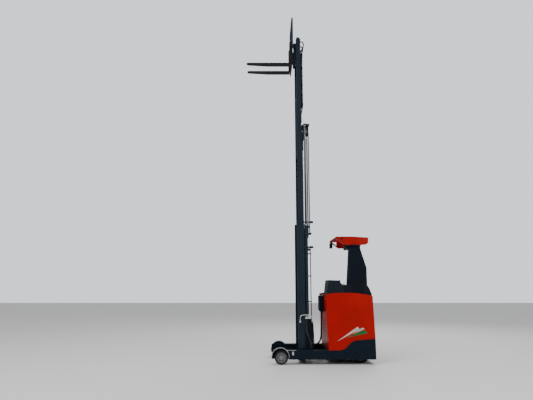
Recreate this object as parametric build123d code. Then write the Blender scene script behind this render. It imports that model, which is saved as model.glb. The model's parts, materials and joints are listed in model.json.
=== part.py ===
from build123d import *
import math
import os

# Stand-up reach truck with a three-stage mast, shown fully raised.
# Millimetres. X points forward along the forks, Y to the truck's left, Z up from the floor.
# Every size below is written from the load wheels' axle line (x = 0) and the truck's middle (y = 0).
# The finished model is shifted along X so that its origin is at the middle of its outer box.

# Fits and running gaps
seat_gap = 0.3
pin_gap = 0.3
runner_gap = 0.4
stage_gap = 6.0
panel_gap = 3.0

# Overall
truck_w = 1096.0
body_rear_x = -1620.0
chassis_front_x = -800.0
ground_clearance = 88.0
chassis_top_z = 235.0
skirt_t = 20.0

# Load wheels and straddle legs
load_wheel_d = 232.0
load_wheel_w = 90.0
load_hub_d = 176.0
load_hub_inset = 4.0
load_axle_d = 40.0
load_cap_d = 70.0
hub_rim_w = 14.0
hub_dish = 10.0
hub_boss_w = 8.0
leg_w = 96.0
leg_web_t = 16.0
wheel_arch_gap = 29.0
arch_x = 15.0
arch_lift = 14.0
fender_t = 8.0
rail_flange_w = 36.0
rail_flange_t = 14.0
leg_nose_t = 14.0
leg_nose_inset = 10.0

# Chassis plates
base_plate_t = 30.0
side_beam_t = 38.0
cross_plate_t = 30.0
skirt_rear_z = 427.0
skirt_dip_x = -985.0
skirt_rise_x = -1150.0
skirt_rise_z = 318.0
skirt_brow_x = -1340.0
skirt_brow_z = 404.0

# Body panels
panel_t = 26.0
panel_inset = 2.0
panel_front_foot_x = -813.0
panel_front_head_x = -772.0
panel_rear_foot_x = -1616.0
panel_rear_head_x = -1598.0
panel_front_top_z = 1182.0
panel_crown_z = 1206.0
panel_crown_x = -1130.0
panel_flange_h = 63.0
panel_rear_top_z = 1151.0
bulkhead_t = 25.0
bulkhead_top_z = 1150.0
bulkhead_inset = 4.0
vent_count = 6
vent_foot_z = 520.0
vent_pitch = 42.0
vent_slot_h = 16.0
vent_half_w = 170.0

# Battery and operator space
battery_l = 300.0
battery_side_gap = 20.0
battery_h = 760.0
battery_lift = 10.0
battery_gap = 6.0
bearer_in = 0.52
bearer_out = 0.68
bay_opening_y = 395.0
bay_top_drop = 30.0
door_inset = 16.0
door_t = 18.0
door_lean = 19.0
lip_h = 37.0
operator_wall_x = -1165.0
operator_wall_t = 20.0
tower_y = 100.0
tower_wall_t = 18.0
floor_mat_t = 26.0
pedal_front_x = -1235.0
pedal_l = 150.0
pedal_w = 130.0
pedal_t = 18.0
pedal_right_ys = (-330.0, -90.0)
knee_pad_t = 38.0
knee_pad_right_y = -400.0
knee_pad_left_y = 60.0
knee_pad_foot_z = 640.0
knee_pad_top_z = 1010.0
lean_pad_front_x = -1250.0
lean_pad_rear_x = -1545.0
lean_pad_t = 42.0
lean_pad_foot_z = 800.0
lean_pad_top_z = 1090.0
cover_t = 12.0

# Console and front hood
hood_top_z = 1426.0
hood_foot_x = -788.0
hood_front_x = -846.0
hood_corner_x = -1000.0
hood_corner_y = 150.0
hood_crown_x = -1010.0
hood_crown_drop = 6.0
face_foot_x = -1096.0
face_foot_drop = 6.0
desk_foot_z = 1262.0
console_top_z = 1340.0
console_front_x = -1100.0
console_rear_x = -1515.0
console_shoulder_x = -1550.0
console_shoulder_z = 1281.0
console_tail_x = -1590.0
console_tail_z = 1185.0
display_t = 18.0
display_right_y = -60.0
display_left_y = 70.0
lever_left_y = -150.0
lever_right_y = -300.0
lever_foot_t = 30.0
lever_start = 22.0
lever_end = 94.0
display_start = 6.0
display_end = 117.0
grip_d = 30.0
grip_h = 118.0
grip_knob_d = 46.0
grip_knob_t = 22.0
steer_x = -1380.0
steer_y = 235.0
steer_rim_d = 164.0
steer_rim_t = 22.0
steer_lift = 52.0
steer_boss_d = 70.0
steer_boss_t = 12.0
steer_hub_d = 56.0
steer_bar_w = 22.0
steer_bar_t = 12.0
steer_knob_d = 26.0
steer_knob_h = 40.0
hose_box_front_x = -696.0
hose_box_top_z = 1148.0
hose_box_foot_z = 872.0
hose_box_right_y = 30.0
hose_box_left_y = 250.0
reach_hose_d = 30.0

# Guard pillar and overhead guard
pillar_foot_t = 58.0
pillar_t = 150.0
pillar_flare_z = 1640.0
pillar_head_h = 50.0
post_front_x = -1250.0
post_rear_x = -1450.0
pillar_front_x = -1170.0
pillar_rear_x = -1515.0
pillar_neck_front_x = -1222.0
pillar_neck_rear_x = -1412.0
gusset_front_x = -1115.0
gusset_rear_x = -1440.0
gusset_h = 82.0
guard_top_z = 2203.0
guard_depth = 153.0
guard_half_w = 430.0
guard_rail_w = 50.0
guard_front_x = -995.0
guard_rear_x = -1585.0
guard_bar_count = 7
guard_bar_w = 26.0
guard_bar_t = 34.0
guard_plate_x = -1125.0
guard_front_bar_t = 18.0
guard_cross_t = 57.0
arm_front_x = -1262.0
arm_rear_x = -1372.0
arm_h = 36.0
lamp_w = 70.0
lamp_y = -335.0
lamp_h = 100.0
lamp_l = 50.0
lamp_stem_w = 20.0
lamp_stem_h = 28.0

# Drive unit
drive_x = -1390.0
drive_y = 285.0
drive_wheel_d = 330.0
drive_wheel_w = 100.0
drive_hub_d = 250.0
drive_axle_d = 50.0
drive_hole_d = 364.0
drive_mount_z = 395.0
drive_mount_t = 20.0
drive_mount_d = 400.0
drive_spindle_d = 180.0
drive_flange_d = 236.0
drive_motor_d = 190.0
drive_motor_h = 330.0
drive_cap_inset = 40.0
drive_cap_h = 40.0
drive_foot_reach = 150.0
drive_foot_d = 36.0
gearcase_l = 124.0
gearcase_t = 58.0
gearcase_gap = 5.0
drive_head_over = 60.0
drive_flange_t = 22.0
tyre_round = 8.0

# Castor
castor_x = -1330.0
castor_y = -310.0
castor_wheel_d = 150.0
castor_wheel_w = 44.0
castor_trail = 45.0
castor_web_t = 34.0
castor_axle_d = 25.0
castor_spindle_d = 40.0
castor_plate_d = 150.0
castor_plate_t = 16.0
castor_wheel_gap = 5.0
castor_round = 6.0

# Reach carriage and reach cylinder
carriage_plate_t = 12.0
carriage_side_gap = 2.0
carriage_foot_lift = 10.0
carriage_step = 12.0
carriage_nose_x = -212.0
carriage_nose_z = 226.0
carriage_knee_x = -425.0
carriage_knee_z = 262.0
carriage_head_x = -446.0
carriage_back_x = -563.0
carriage_back_z = 755.0
carriage_corner = 60.0
carriage_wall_t = 24.0
carriage_wall_top_z = 600.0
carriage_base_t = 22.0
roller_front_x = -312.0
roller_rear_x = -520.0
rail_roller_w = 30.0
rail_roller_play = 6.0
rail_pin_d = 40.0
reach_cylinder_z = 162.0
reach_tube_d = 64.0
reach_tube_bore = 46.0
reach_rod_d = 32.0
reach_gland_t = 30.0
reach_piston_t = 30.0
reach_nut_d = 54.0
reach_nut_t = 26.0
reach_out = 380.0
reach_back = 170.0
reach_tube_front = 10.0
reach_foot_t = 30.0
reach_spare = 40.0
reach_tube_ends = 100.0

# Mast: each stage is a pair of channels, the inner one inside the outer one
mast_foot_z = 60.0
stage_h = 2455.0
stage_foot_lift = 5.0
lift_stroke = 1822.0
inner_foot_lift = 88.0
inner_h = 2350.0
outer_front_x = -303.0
outer_depth = 129.0
outer_half_w = 380.0
outer_web_t = 14.0
outer_flange_w = 36.0
outer_flange_t = 14.0
middle_front_x = -330.0
middle_depth = 94.0
middle_web_t = 12.0
middle_flange_w = 32.0
middle_flange_t = 12.0
inner_front_x = -326.0
inner_depth = 88.0
inner_web_t = 12.0
inner_flange_w = 27.0
inner_flange_t = 12.0
stage_roller_play = 4.4
stage_pin_d = 30.0

# Plates and ties across the mast's rear
foot_plate_t = 12.0
rear_plate_x = -530.0
rear_plate_t = 18.0
low_plate_drop = 505.0
high_plate_drop = 260.0
outer_tie_x = -476.0
outer_tie_t = 20.0
upper_tie_h = 128.0
low_tie_z = 780.0
low_tie_h = 100.0
tie_cheek_t = 12.0
clamp_drop = 50.0
bracket_rear_x = -604.0
bracket_w = 30.0
bracket_h = 40.0
short_bracket_x = -572.0
middle_tie_t = 11.0
middle_tie_h = 60.0
inner_foot_t = 20.0
inner_tie_t = 12.0
inner_tie_h = 80.0
inner_low_tie_lift = 30.0
inner_low_tie_h = 100.0
inner_mid_tie_lift = 650.0
inner_strap_tie_lift = 1028.0
inner_high_tie_drop = 587.0
inner_head_tie_drop = 140.0
inner_head_tie_h = 120.0
head_plate_rise = 38.0
head_plate_t = 10.0

# Lift cylinders, crosshead, chains and hoses of the mast
lift_tube_d = 62.0
lift_tube_bore = 48.0
lift_rod_d = 40.0
lift_gland_t = 30.0
lift_cylinder_x = -469.0
lift_cylinder_inset = 34.0
lift_tube_drop = 75.0
lift_rod_in = 120.0
crosshead_drop = 7.0
crosshead_t = 22.0
crosshead_rear_x = -557.0
crosshead_bar_t = 12.0
crosshead_bar_h = 110.0
crosshead_rib_h = 60.0
crosshead_over = 26.0
loop_half_w = 150.0
sheave_x = -481.0
sheave_d = 66.0
sheave_w = 40.0
sheave_drop = 85.0
sheave_lug_t = 6.0
chain_inset = 24.0
chain_w = 20.0
chain_t = 12.0
hose_inset = 89.0
hose_w = 34.0
hose_t = 14.0
anchor_lift = 90.0
anchor_h = 30.0
pipe_d = 14.0
rise_pipe_d = 18.0
bent_pipe_z = 822.0
pipe_x = -544.0
pipe_y = 315.0
mast_hose_d = 22.0
mast_hose_y = 100.0
clip_h = 32.0
clip_w = 34.0

# Free lift cylinder, its head and chains
free_tube_d = 70.0
free_tube_bore = 50.0
free_rod_d = 45.0
free_gland_t = 30.0
free_x = -362.0
free_tube_top = 1188.0
free_stroke = 963.0
free_head_gap = 72.0
free_head_w = 60.0
free_head_l = 48.0
free_sheave_d = 44.0
free_sheave_w = 38.0
free_pin_d = 24.0
free_chain_y = 70.0
free_chain_t = 10.0
collar_half_w = 95.0
collar_h = 25.0
collar_drop = 60.0
strap_half_w = 40.0
strap_h = 70.0
strap_drop = 160.0

# Lift carriage, fork frame and forks
fork_low_gap = -63.0
fork_l = 847.0
fork_w = 100.0
fork_t = 38.0
fork_tip_t = 12.0
fork_taper_x = 220.0
fork_tip_r = 34.0
fork_heel = 16.0
fork_front_x = -200.0
fork_shank_t = 36.0
fork_shank_h = 440.0
fork_spacing = 370.0
frame_half_w = 360.0
frame_bar_t = 22.0
frame_end_w = 30.0
frame_foot_drop = 20.0
frame_low_bar_h = 95.0
frame_high_bar_rise = 270.0
frame_high_bar_h = 70.0
frame_end_rise = 360.0
hanger_rise = 400.0
hanger_y = 172.0
hanger_w = 36.0
tilt_pin_x = -264.0
tilt_pin_rise = 385.0
tilt_pin_d = 24.0
tilt_lug_y = 150.0
tilt_lug_t = 18.0
tilt_lug_h = 26.0
backrest_h = 535.0
backrest_depth = 31.0
backrest_slat_t = 16.0
backrest_rail_w = 24.0
backrest_slat_w = 16.0
backrest_low_rise = 120.0
backrest_bars = 5
lift_carriage_front_x = -293.0
lift_carriage_nose_x = -270.0
lift_carriage_rise = 415.0
carriage_side_t = 15.0
carriage_cross_t = 20.0
carriage_low_cross_h = 64.0
carriage_high_cross_rise = 300.0
carriage_high_cross_h = 105.0
carriage_roller_d = 62.0
carriage_pin_d = 26.0
chain_lug_rise = 40.0
chain_lug_h = 28.0

# Values that follow from the ones above
half_w = truck_w / 2
axle_z = load_wheel_d / 2
arch_z = axle_z + arch_lift
leg_inner_y = half_w - leg_w
web_inner_y = leg_inner_y - leg_web_t
rail_inner_y = web_inner_y - rail_flange_w
arch_r = load_wheel_d / 2 + wheel_arch_gap
fender_r = arch_r + fender_t
leg_nose_x = arch_x + fender_r - leg_nose_inset
body_in_y = half_w - skirt_t
outer_rear_x = outer_front_x - outer_depth
middle_rear_x = middle_front_x - middle_depth
inner_rear_x = inner_front_x - inner_depth
middle_half_w = outer_half_w - outer_web_t - outer_flange_w - stage_gap
inner_half_w = middle_half_w - middle_web_t - middle_flange_w - stage_gap
outer_in_y = outer_half_w - outer_web_t - outer_flange_w
middle_in_y = middle_half_w - middle_web_t - middle_flange_w
inner_in_y = inner_half_w - inner_web_t - inner_flange_w
outer_top_z = mast_foot_z + stage_h
middle_foot_z = mast_foot_z + stage_foot_lift + lift_stroke
inner_foot_z = middle_foot_z + lift_stroke + inner_foot_lift
middle_top_z = middle_foot_z + stage_h - stage_foot_lift
inner_top_z = inner_foot_z + inner_h
carriage_y = outer_half_w + carriage_side_gap
reach_tube_l = reach_out + reach_back + reach_tube_ends
carriage_foot_z = ground_clearance + carriage_foot_lift
lift_cylinder_y = outer_half_w - lift_cylinder_inset
lift_tube_top_z = outer_top_z - lift_tube_drop
crosshead_z = middle_top_z - crosshead_drop
sheave_z = middle_top_z - sheave_drop
chain_y = inner_half_w - chain_inset
hose_y = inner_half_w - hose_inset
line_anchor_z = outer_top_z - high_plate_drop + rear_plate_t + seat_gap
free_tube_top_z = inner_foot_z + free_tube_top
free_head_z = free_tube_top_z + free_stroke + free_head_gap
lift_carriage_foot_z = inner_foot_z + inner_foot_t + stage_gap + 2 * free_stroke
fork_top_z = inner_foot_z + fork_low_gap + 2 * free_stroke
tilt_pin_z = fork_top_z + tilt_pin_rise
backrest_foot_z = fork_top_z + frame_end_rise
backrest_top_z = backrest_foot_z + backrest_h
panel_in_y = half_w - panel_inset - panel_t
bulkhead_lean = (panel_front_head_x - panel_front_foot_x) / (panel_front_top_z - chassis_top_z)
pillar_out_y = panel_in_y - 1.0
pillar_in_y = pillar_out_y - pillar_foot_t
pillar_top_z = guard_top_z - guard_depth
hood_face_top = (hood_crown_x, hood_top_z - hood_crown_drop)
hood_face_foot = (face_foot_x, console_top_z - face_foot_drop)
desk_foot = (operator_wall_x - operator_wall_t, desk_foot_z)
fork_tip_x = fork_front_x + fork_l
origin_x = (fork_tip_x + min(body_rear_x, guard_rear_x)) / 2
SIDES = (("left", 1), ("right", -1))


def block(x0, x1, y0, y1, z0, z1):
    """A box between two corners, in any order."""
    centre = ((x0 + x1) / 2, (y0 + y1) / 2, (z0 + z1) / 2)
    return Pos(*centre) * Box(abs(x1 - x0), abs(y1 - y0), abs(z1 - z0))


def side_plane(y):
    """The plane that faces the truck's right, drawn in X and Z, at a distance y."""
    return Plane(origin=(0, y, 0), x_dir=(1, 0, 0), z_dir=(0, -1, 0))


def side_plate(points, y0, y1):
    """A flat outline in X and Z, made solid from y0 to y1."""
    face = make_face(Polyline(*points, close=True).edges())
    return extrude(side_plane(max(y0, y1)) * face, abs(y1 - y0))


def rod_z(x, y, d, z0, z1):
    return Pos(x, y, (z0 + z1) / 2) * Cylinder(d / 2, abs(z1 - z0))


def rod_y(x, z, d, y0, y1):
    return Pos(x, (y0 + y1) / 2, z) * Rot(90, 0, 0) * Cylinder(d / 2, abs(y1 - y0))


def rod_x(y, z, d, x0, x1):
    return Pos((x0 + x1) / 2, y, z) * Rot(0, 90, 0) * Cylinder(d / 2, abs(x1 - x0))


def mirrored(shape):
    """The same piece on the truck's other side."""
    return mirror(shape, about=Plane.XZ)


def fused(pieces):
    body = pieces[0]
    for piece in pieces[1:]:
        body = body + piece
    return body


def hose_path(points, ratio=0.45):
    """Straight runs joined by arcs, each as large as its two runs allow."""
    spots = [Vector(*p) for p in points]
    radii = []
    for before, here, after in zip(spots, spots[1:], spots[2:]):
        run = min((here - before).length, (after - here).length)
        turn = math.radians((here - before).get_angle(after - here))
        radii.append(ratio * run / math.tan(turn / 2))
    return FilletPolyline(*points, radius=radii), radii


def hose(name, points, d):
    """A round hose along a route of points."""
    path, radii = hose_path(points)
    start = Plane(origin=path @ 0, z_dir=path % 0)
    tube = sweep(start * Circle(d / 2), path=path)
    ideal = math.pi * d * d / 4 * path.length
    print(name, "length", round(path.length), "volume ratio", round(tube.volume / ideal, 4),
          "radii", [round(r) for r in radii])
    return tube


def skirt_line():
    """The S-shaped edge between the dark skirt and the side panel, from front to rear."""
    dip = (skirt_dip_x, chassis_top_z)
    rise = (skirt_rise_x, skirt_rise_z)
    brow = (skirt_brow_x, skirt_brow_z)
    dip_middle = ((dip[0] + rise[0]) / 2 - 10, chassis_top_z + 23)
    brow_middle = ((rise[0] + brow[0]) / 2 + 15, skirt_brow_z - 24)
    return [
        Line((panel_front_foot_x, chassis_top_z), dip),
        ThreePointArc(dip, dip_middle, rise),
        ThreePointArc(rise, brow_middle, brow),
        Line(brow, (body_rear_x, skirt_rear_z)),
    ]


def chassis_frame():
    """The welded base: plate, side beams and cross plates, with the drive unit's opening."""
    front = chassis_front_x
    rear = body_rear_x + skirt_t
    plate_z = chassis_top_z - base_plate_t
    low = ground_clearance
    base = block(front, rear, -body_in_y, body_in_y, plate_z, chassis_top_z)
    for side in (1, -1):
        base += block(front, rear, side * (body_in_y - side_beam_t), side * body_in_y, low, plate_z)
    base += block(front, front - cross_plate_t, -body_in_y, body_in_y, low, plate_z)
    base += block(rear, rear + skirt_t, -body_in_y, body_in_y, low, plate_z)
    base -= rod_z(drive_x, drive_y, drive_hole_d, plate_z - 1, chassis_top_z + 1)
    base -= rod_z(castor_x, castor_y, castor_spindle_d + 2 * pin_gap, plate_z - 1, chassis_top_z + 1)
    base -= rod_x(0, reach_cylinder_z, reach_tube_d, front + 1, front - cross_plate_t - 1)
    return base


def chassis_skirt():
    """Dark plates round the lower body: two side plates with an S-shaped top, and a rear plate."""
    edges = skirt_line()
    foot = [
        Line((chassis_front_x, chassis_top_z), (panel_front_foot_x, chassis_top_z)),
        Line((body_rear_x, skirt_rear_z), (body_rear_x, ground_clearance)),
        Line((body_rear_x, ground_clearance), (chassis_front_x, ground_clearance)),
        Line((chassis_front_x, ground_clearance), (chassis_front_x, chassis_top_z)),
    ]
    face = make_face(edges + foot)
    left = extrude(side_plane(half_w) * face, skirt_t)
    rear_in = body_rear_x + skirt_t
    rear = block(body_rear_x, rear_in, -body_in_y, tower_y, ground_clearance, chassis_top_z + floor_mat_t)
    tall = block(body_rear_x, rear_in, tower_y, body_in_y, ground_clearance, skirt_rear_z)
    return left + mirrored(left) + rear + tall


def straddle_leg(side):
    """Leg beam, wheel arch with its curved guard, inner web and the reach rail inside it."""
    front = chassis_front_x
    low = ground_clearance
    beam = block(front, 0, leg_inner_y, half_w, low, chassis_top_z)
    guard = rod_y(arch_x, arch_z, 2 * fender_r, web_inner_y, half_w)
    beam += guard - block(front, leg_nose_x + leg_nose_t, web_inner_y - 1, half_w + 1, -fender_r, low)
    beam -= rod_y(arch_x, arch_z, 2 * arch_r, leg_inner_y, half_w + 1)
    web = block(front, leg_nose_x, web_inner_y, leg_inner_y, low, chassis_top_z)
    rail_end = leg_nose_x - leg_nose_t + 1
    top_rail = block(front, rail_end, rail_inner_y, web_inner_y, chassis_top_z - rail_flange_t, chassis_top_z)
    low_rail = block(front, rail_end, rail_inner_y, web_inner_y, low, low + rail_flange_t)
    nose = block(leg_nose_x - leg_nose_t, leg_nose_x, rail_inner_y, web_inner_y, low, chassis_top_z)
    bore = rod_y(0, axle_z, load_axle_d + 2 * pin_gap, rail_inner_y, leg_inner_y + 1)
    leg = beam + web + top_rail + low_rail + nose - bore
    return leg if side > 0 else mirrored(leg)


def load_axle(side):
    """Stub axle from the leg's web, with a cap outside its wheel."""
    cap_y = half_w - load_hub_inset + seat_gap
    cap_out = half_w - seat_gap
    axle = rod_y(0, axle_z, load_axle_d, web_inner_y, cap_out)
    axle += rod_y(0, axle_z, load_cap_d, cap_y, cap_out)
    return axle if side > 0 else mirrored(axle)


def load_tyre(side):
    y1 = half_w
    y0 = half_w - load_wheel_w
    tyre = rod_y(0, axle_z, load_wheel_d, y0, y1)
    tyre = fillet(tyre.edges().filter_by(GeomType.CIRCLE), tyre_round)
    tyre -= rod_y(0, axle_z, load_hub_d, y0 - 1, y1 + 1)
    return tyre if side > 0 else mirrored(tyre)


def load_hub(side):
    """Steel wheel centre with a dished face and a bored boss."""
    y1 = half_w - load_hub_inset
    y0 = half_w - load_wheel_w
    hub = rod_y(0, axle_z, load_hub_d, y0, y1)
    dish = rod_y(0, axle_z, load_hub_d - 2 * hub_rim_w, y1 - hub_dish, y1 + 1)
    hub -= dish - rod_y(0, axle_z, load_cap_d + 2 * hub_boss_w, y1 - hub_dish - 1, y1 + 2)
    hub -= rod_y(0, axle_z, load_axle_d + 2 * pin_gap, y0 - 1, y1 + 1)
    return hub if side > 0 else mirrored(hub)


def side_panel(side):
    """Red side panel: leaning front and rear edges, crowned top and S-shaped lower edge."""
    foot = [Pos(0, panel_gap) * edge for edge in skirt_line()]
    front_foot = (panel_front_foot_x, chassis_top_z + panel_gap)
    rear_foot = (body_rear_x, skirt_rear_z + panel_gap)
    front_head = (panel_front_head_x - 10, panel_front_top_z)
    rear_head = (panel_rear_head_x, panel_rear_top_z)
    crown = (panel_crown_x, panel_crown_z)
    fore = (panel_crown_x + 110, panel_crown_z - 2)
    aft = (panel_crown_x - 110, panel_crown_z - 3)
    edges = foot + [
        Line(rear_foot, rear_head),
        ThreePointArc(rear_head, ((rear_head[0] + aft[0]) / 2, panel_crown_z - 18), aft),
        ThreePointArc(aft, crown, fore),
        ThreePointArc(fore, ((front_head[0] + fore[0]) / 2, panel_crown_z - 8), front_head),
        Line(front_head, front_foot),
    ]
    panel = extrude(side_plane(half_w - panel_inset) * make_face(edges), panel_t)
    panel -= block(2 * body_rear_x, 0, pillar_out_y, body_in_y, 0, skirt_rear_z + panel_gap)
    panel += panel_flange()
    return panel if side > 0 else mirrored(panel)


def panel_flange():
    """The panel's inner lower edge, seated inside the skirt on the base plate."""
    return block(panel_front_foot_x - 10, body_rear_x + skirt_t + 1, panel_in_y, body_in_y,
                 chassis_top_z, skirt_rear_z + panel_flange_h)


def bulkhead_x(z):
    """The front face of the leaning bulkhead at a height."""
    return panel_front_foot_x - bulkhead_inset + bulkhead_lean * (z - chassis_top_z)


def front_bulkhead():
    """Leaning front wall with a vent."""
    foot = bulkhead_x(chassis_top_z)
    head = bulkhead_x(bulkhead_top_z)
    outline = [(foot, chassis_top_z), (head, bulkhead_top_z),
               (head - bulkhead_t, bulkhead_top_z), (foot - bulkhead_t, chassis_top_z)]
    wall = side_plate(outline, -panel_in_y, panel_in_y)
    for i in range(vent_count):
        z = vent_foot_z + i * vent_pitch
        wall -= block(foot - 2 * bulkhead_t, head + bulkhead_t, -vent_half_w, vent_half_w, z, z + vent_slot_h)
    return wall


def battery_block():
    """Battery on two low bearers between the side panels."""
    front = bulkhead_x(chassis_top_z) - bulkhead_t - battery_gap
    rear = front - battery_l
    half = panel_in_y - battery_side_gap
    z = chassis_top_z + battery_lift
    battery = block(front, rear, -half, half, z, z + battery_h)
    for side in (1, -1):
        battery += block(front, rear, side * bearer_in * half, side * bearer_out * half, chassis_top_z, z)
    return battery


def operator_wall():
    """Wall between the battery and the operator's space, cut out beside the drive bay."""
    y = panel_in_y
    wall = block(operator_wall_x, desk_foot[0], -y, y, chassis_top_z, bulkhead_top_z)
    return wall - block(operator_wall_x + 1, desk_foot[0] - 1, bay_opening_y, y + 1, 0, bulkhead_top_z + 1)


def drive_bay_cover():
    """Inner wall beside the operator, with the rear door of the drive bay."""
    rear = panel_rear_foot_x + door_inset
    foot = skirt_rear_z + panel_gap
    top = bulkhead_top_z - bay_top_drop
    inner = block(desk_foot[0], body_rear_x + skirt_t, tower_y, tower_y + tower_wall_t, chassis_top_z, top)
    outline = [(rear, foot), (rear + door_lean, top), (rear + door_lean + door_t, top), (rear + door_t, foot)]
    door = side_plate(outline, tower_y, panel_in_y)
    lip = block(rear + 1, rear + 2 * door_t, tower_y, panel_in_y, foot, foot + lip_h)
    return inner + door + lip


def console_cowl():
    """Dark moulded cowl on the drive bay, cut out round the pillar."""
    top = console_top_z
    foot = bulkhead_top_z - bay_top_drop
    front = console_front_x
    rear = console_tail_x
    outer = side_plate([(front, foot), (front, top - 4), (front - 20, top), (console_rear_x, top),
                        (console_shoulder_x, console_shoulder_z), (rear, console_tail_z), (rear, foot)],
                       tower_y, panel_in_y)
    skin = cover_t
    inner = side_plate([(front - skin, foot - 1), (front - skin, top - skin), (console_rear_x + skin, top - skin),
                        (console_shoulder_x + skin, console_shoulder_z), (rear + skin, console_tail_z),
                        (rear + skin, foot - 1)], tower_y + skin, panel_in_y - skin)
    wall_room = block(operator_wall_x + 2, desk_foot[0] - 2, 0, panel_in_y + 1, foot - 1, bulkhead_top_z + 1)
    return outer - inner - wall_room - pillar_post(1.0)


def hood_corner(inset, z0, z1):
    """The prism that is cut off the hood's right front corner, moved in by an inset."""
    start = Vector(hood_foot_x, hood_corner_y)
    along = (Vector(hood_corner_x, -pillar_out_y) - start).normalized()
    near = start - along * 60 + Vector(along.Y, -along.X) * inset
    far = start + along * 800 + Vector(along.Y, -along.X) * inset
    outline = Polyline((near.X, near.Y), (far.X, far.Y), (0, far.Y), (0, near.Y), close=True)
    return Pos(0, 0, z0) * extrude(make_face(outline.edges()), z1 - z0)


def front_hood():
    """Raised hood over the battery with a sloping instrument face towards the operator."""
    y = pillar_out_y
    foot = bulkhead_top_z
    shape = [(hood_foot_x, foot), (hood_front_x, hood_top_z), hood_face_top, hood_face_foot, desk_foot,
             (desk_foot[0], foot)]
    top = hood_top_z + 1
    hood = side_plate(shape, -y, y) - hood_corner(0, foot - 1, top)
    skin = cover_t
    core = side_plate([(hood_foot_x - 1.5 * skin, foot - 1), (hood_front_x - skin, hood_top_z - skin),
                       (hood_crown_x + 6, hood_top_z - 1.5 * skin), (desk_foot[0] + 4 * skin, desk_foot_z + 4),
                       (desk_foot[0] + 4 * skin, foot - 1)], -y + skin, y - skin)
    hood -= core - hood_corner(skin, foot - 2, top)
    lid = block(hood_foot_x, hood_corner_x, -y, hood_corner_y, foot, foot + skin)
    hood += lid & hood_corner(skin, foot, top)
    hood -= block(face_foot_x - 3.7, desk_foot[0] - 10, tower_y - seat_gap, y + 1, foot - 1, hood_top_z)
    return hood


def slope_pad(top, foot, start, end, thick, y0, y1):
    """Pad laid on a sloping face a seat gap above it, between two distances down the slope."""
    high = Vector(*top)
    along = (Vector(*foot) - high).normalized()
    out = Vector(along.Y, -along.X)
    near = high + along * start
    far = high + along * end
    shape = [near + out * seat_gap, near + out * thick, far + out * thick, far + out * seat_gap]
    return side_plate([(p.X, p.Y) for p in shape], y0, y1)


def pillar_post(gap=0.0):
    """The pillar's lower post, a plain box between the drive opening and the side panel."""
    return block(post_front_x + gap, post_rear_x - gap, pillar_in_y - gap, pillar_out_y + gap, chassis_top_z,
                 console_top_z + 40)


def guard_pillar():
    """Pillar on the left side: post, flared cover and the arm under the guard."""
    y1 = pillar_out_y
    y0 = y1 - pillar_t
    foot = console_top_z + seat_gap
    neck = pillar_top_z - pillar_head_h
    front = pillar_neck_front_x
    rear = pillar_neck_rear_x
    shape = [(pillar_front_x, foot), (front, neck), (rear, neck), (rear - 6, neck - 37),
             (pillar_rear_x, pillar_flare_z), (pillar_rear_x, foot)]
    cover = side_plate(shape, y0, y1)
    low = pillar_top_z - 14
    gusset = side_plate([(gusset_front_x, low), (front, pillar_top_z - gusset_h), (rear, pillar_top_z - gusset_h),
                         (gusset_rear_x, low), (gusset_rear_x, pillar_top_z), (gusset_front_x, pillar_top_z)],
                        y0 + 20, guard_half_w)
    arm = block(arm_front_x, arm_rear_x, -guard_half_w + 10, y1 - 10, pillar_top_z - arm_h, pillar_top_z)
    return pillar_post() + cover + gusset + arm


def overhead_guard():
    """Red guard frame: deep side plates with open front ends, cross bars and roof bars."""
    top = guard_top_z
    foot = pillar_top_z
    front = guard_front_x
    plate_x = guard_plate_x
    rear = guard_rear_x
    bar = guard_front_bar_t
    inner = guard_half_w - guard_rail_w
    side = side_plate([(plate_x, foot + 22), (plate_x, top), (plate_x - 175, top), (rear, top - bar),
                       (rear + 8, foot + 34), (rear + 45, foot + 10), (rear + 140, foot), (plate_x - 35, foot)],
                      inner, guard_half_w)
    side += side_plate([(front, top - 6), (front, top - 30), (plate_x - 5, foot + 22), (plate_x - 5, foot + 46),
                        (front - 24, top - bar), (plate_x - 5, top - bar), (plate_x - 5, top), (front - 18, top)],
                       inner + 5, guard_half_w - 5)
    cage = side + mirrored(side)
    cage += block(front, front - 26, -inner - 6, inner + 6, top - 30, top - 6)
    cage += block(rear + 13 + guard_cross_t, rear + 13, -inner, inner, top - 84, top - 28)
    cage += block(arm_front_x, arm_rear_x, -inner, inner, foot, foot + 40)
    thick = guard_bar_t
    shape = [(front - 10, top - 8 - thick), (front - 10, top - 8), (plate_x - 85, top - 4),
             (rear + 45, top - 34), (rear + 45, top - 34 - thick), (plate_x - 85, top - 4 - thick)]
    step = 2 * inner / (guard_bar_count + 1)
    for i in range(guard_bar_count):
        y = -inner + step * (i + 1)
        cage += side_plate(shape, y - guard_bar_w / 2, y + guard_bar_w / 2)
    return cage


def guard_lamp():
    """Work lamp on a stem under the right end of the guard's front bar."""
    under = guard_top_z - 30
    top = under - lamp_stem_h
    x = guard_front_x + 12
    lamp = block(x, x - lamp_l, lamp_y - lamp_w / 2, lamp_y + lamp_w / 2, top - lamp_h, top)
    half = lamp_stem_w / 2
    return lamp + block(guard_front_x - 3, guard_front_x - 3 - lamp_stem_w, lamp_y - half, lamp_y + half, top - 5,
                        under)


def operator_floor():
    return block(desk_foot[0], body_rear_x + skirt_t, -panel_in_y, tower_y, chassis_top_z,
                 chassis_top_z + floor_mat_t)


def foot_pedals():
    top = chassis_top_z + floor_mat_t
    pads = [block(pedal_front_x, pedal_front_x - pedal_l, y, y + pedal_w, top, top + pedal_t)
            for y in pedal_right_ys]
    return Compound(children=pads)


def knee_pad():
    x = desk_foot[0]
    return block(x - seat_gap, x - knee_pad_t, knee_pad_right_y, knee_pad_left_y, knee_pad_foot_z, knee_pad_top_z)


def lean_pad():
    return block(lean_pad_front_x, lean_pad_rear_x, tower_y - seat_gap, tower_y - lean_pad_t, lean_pad_foot_z,
                 lean_pad_top_z)


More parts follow.
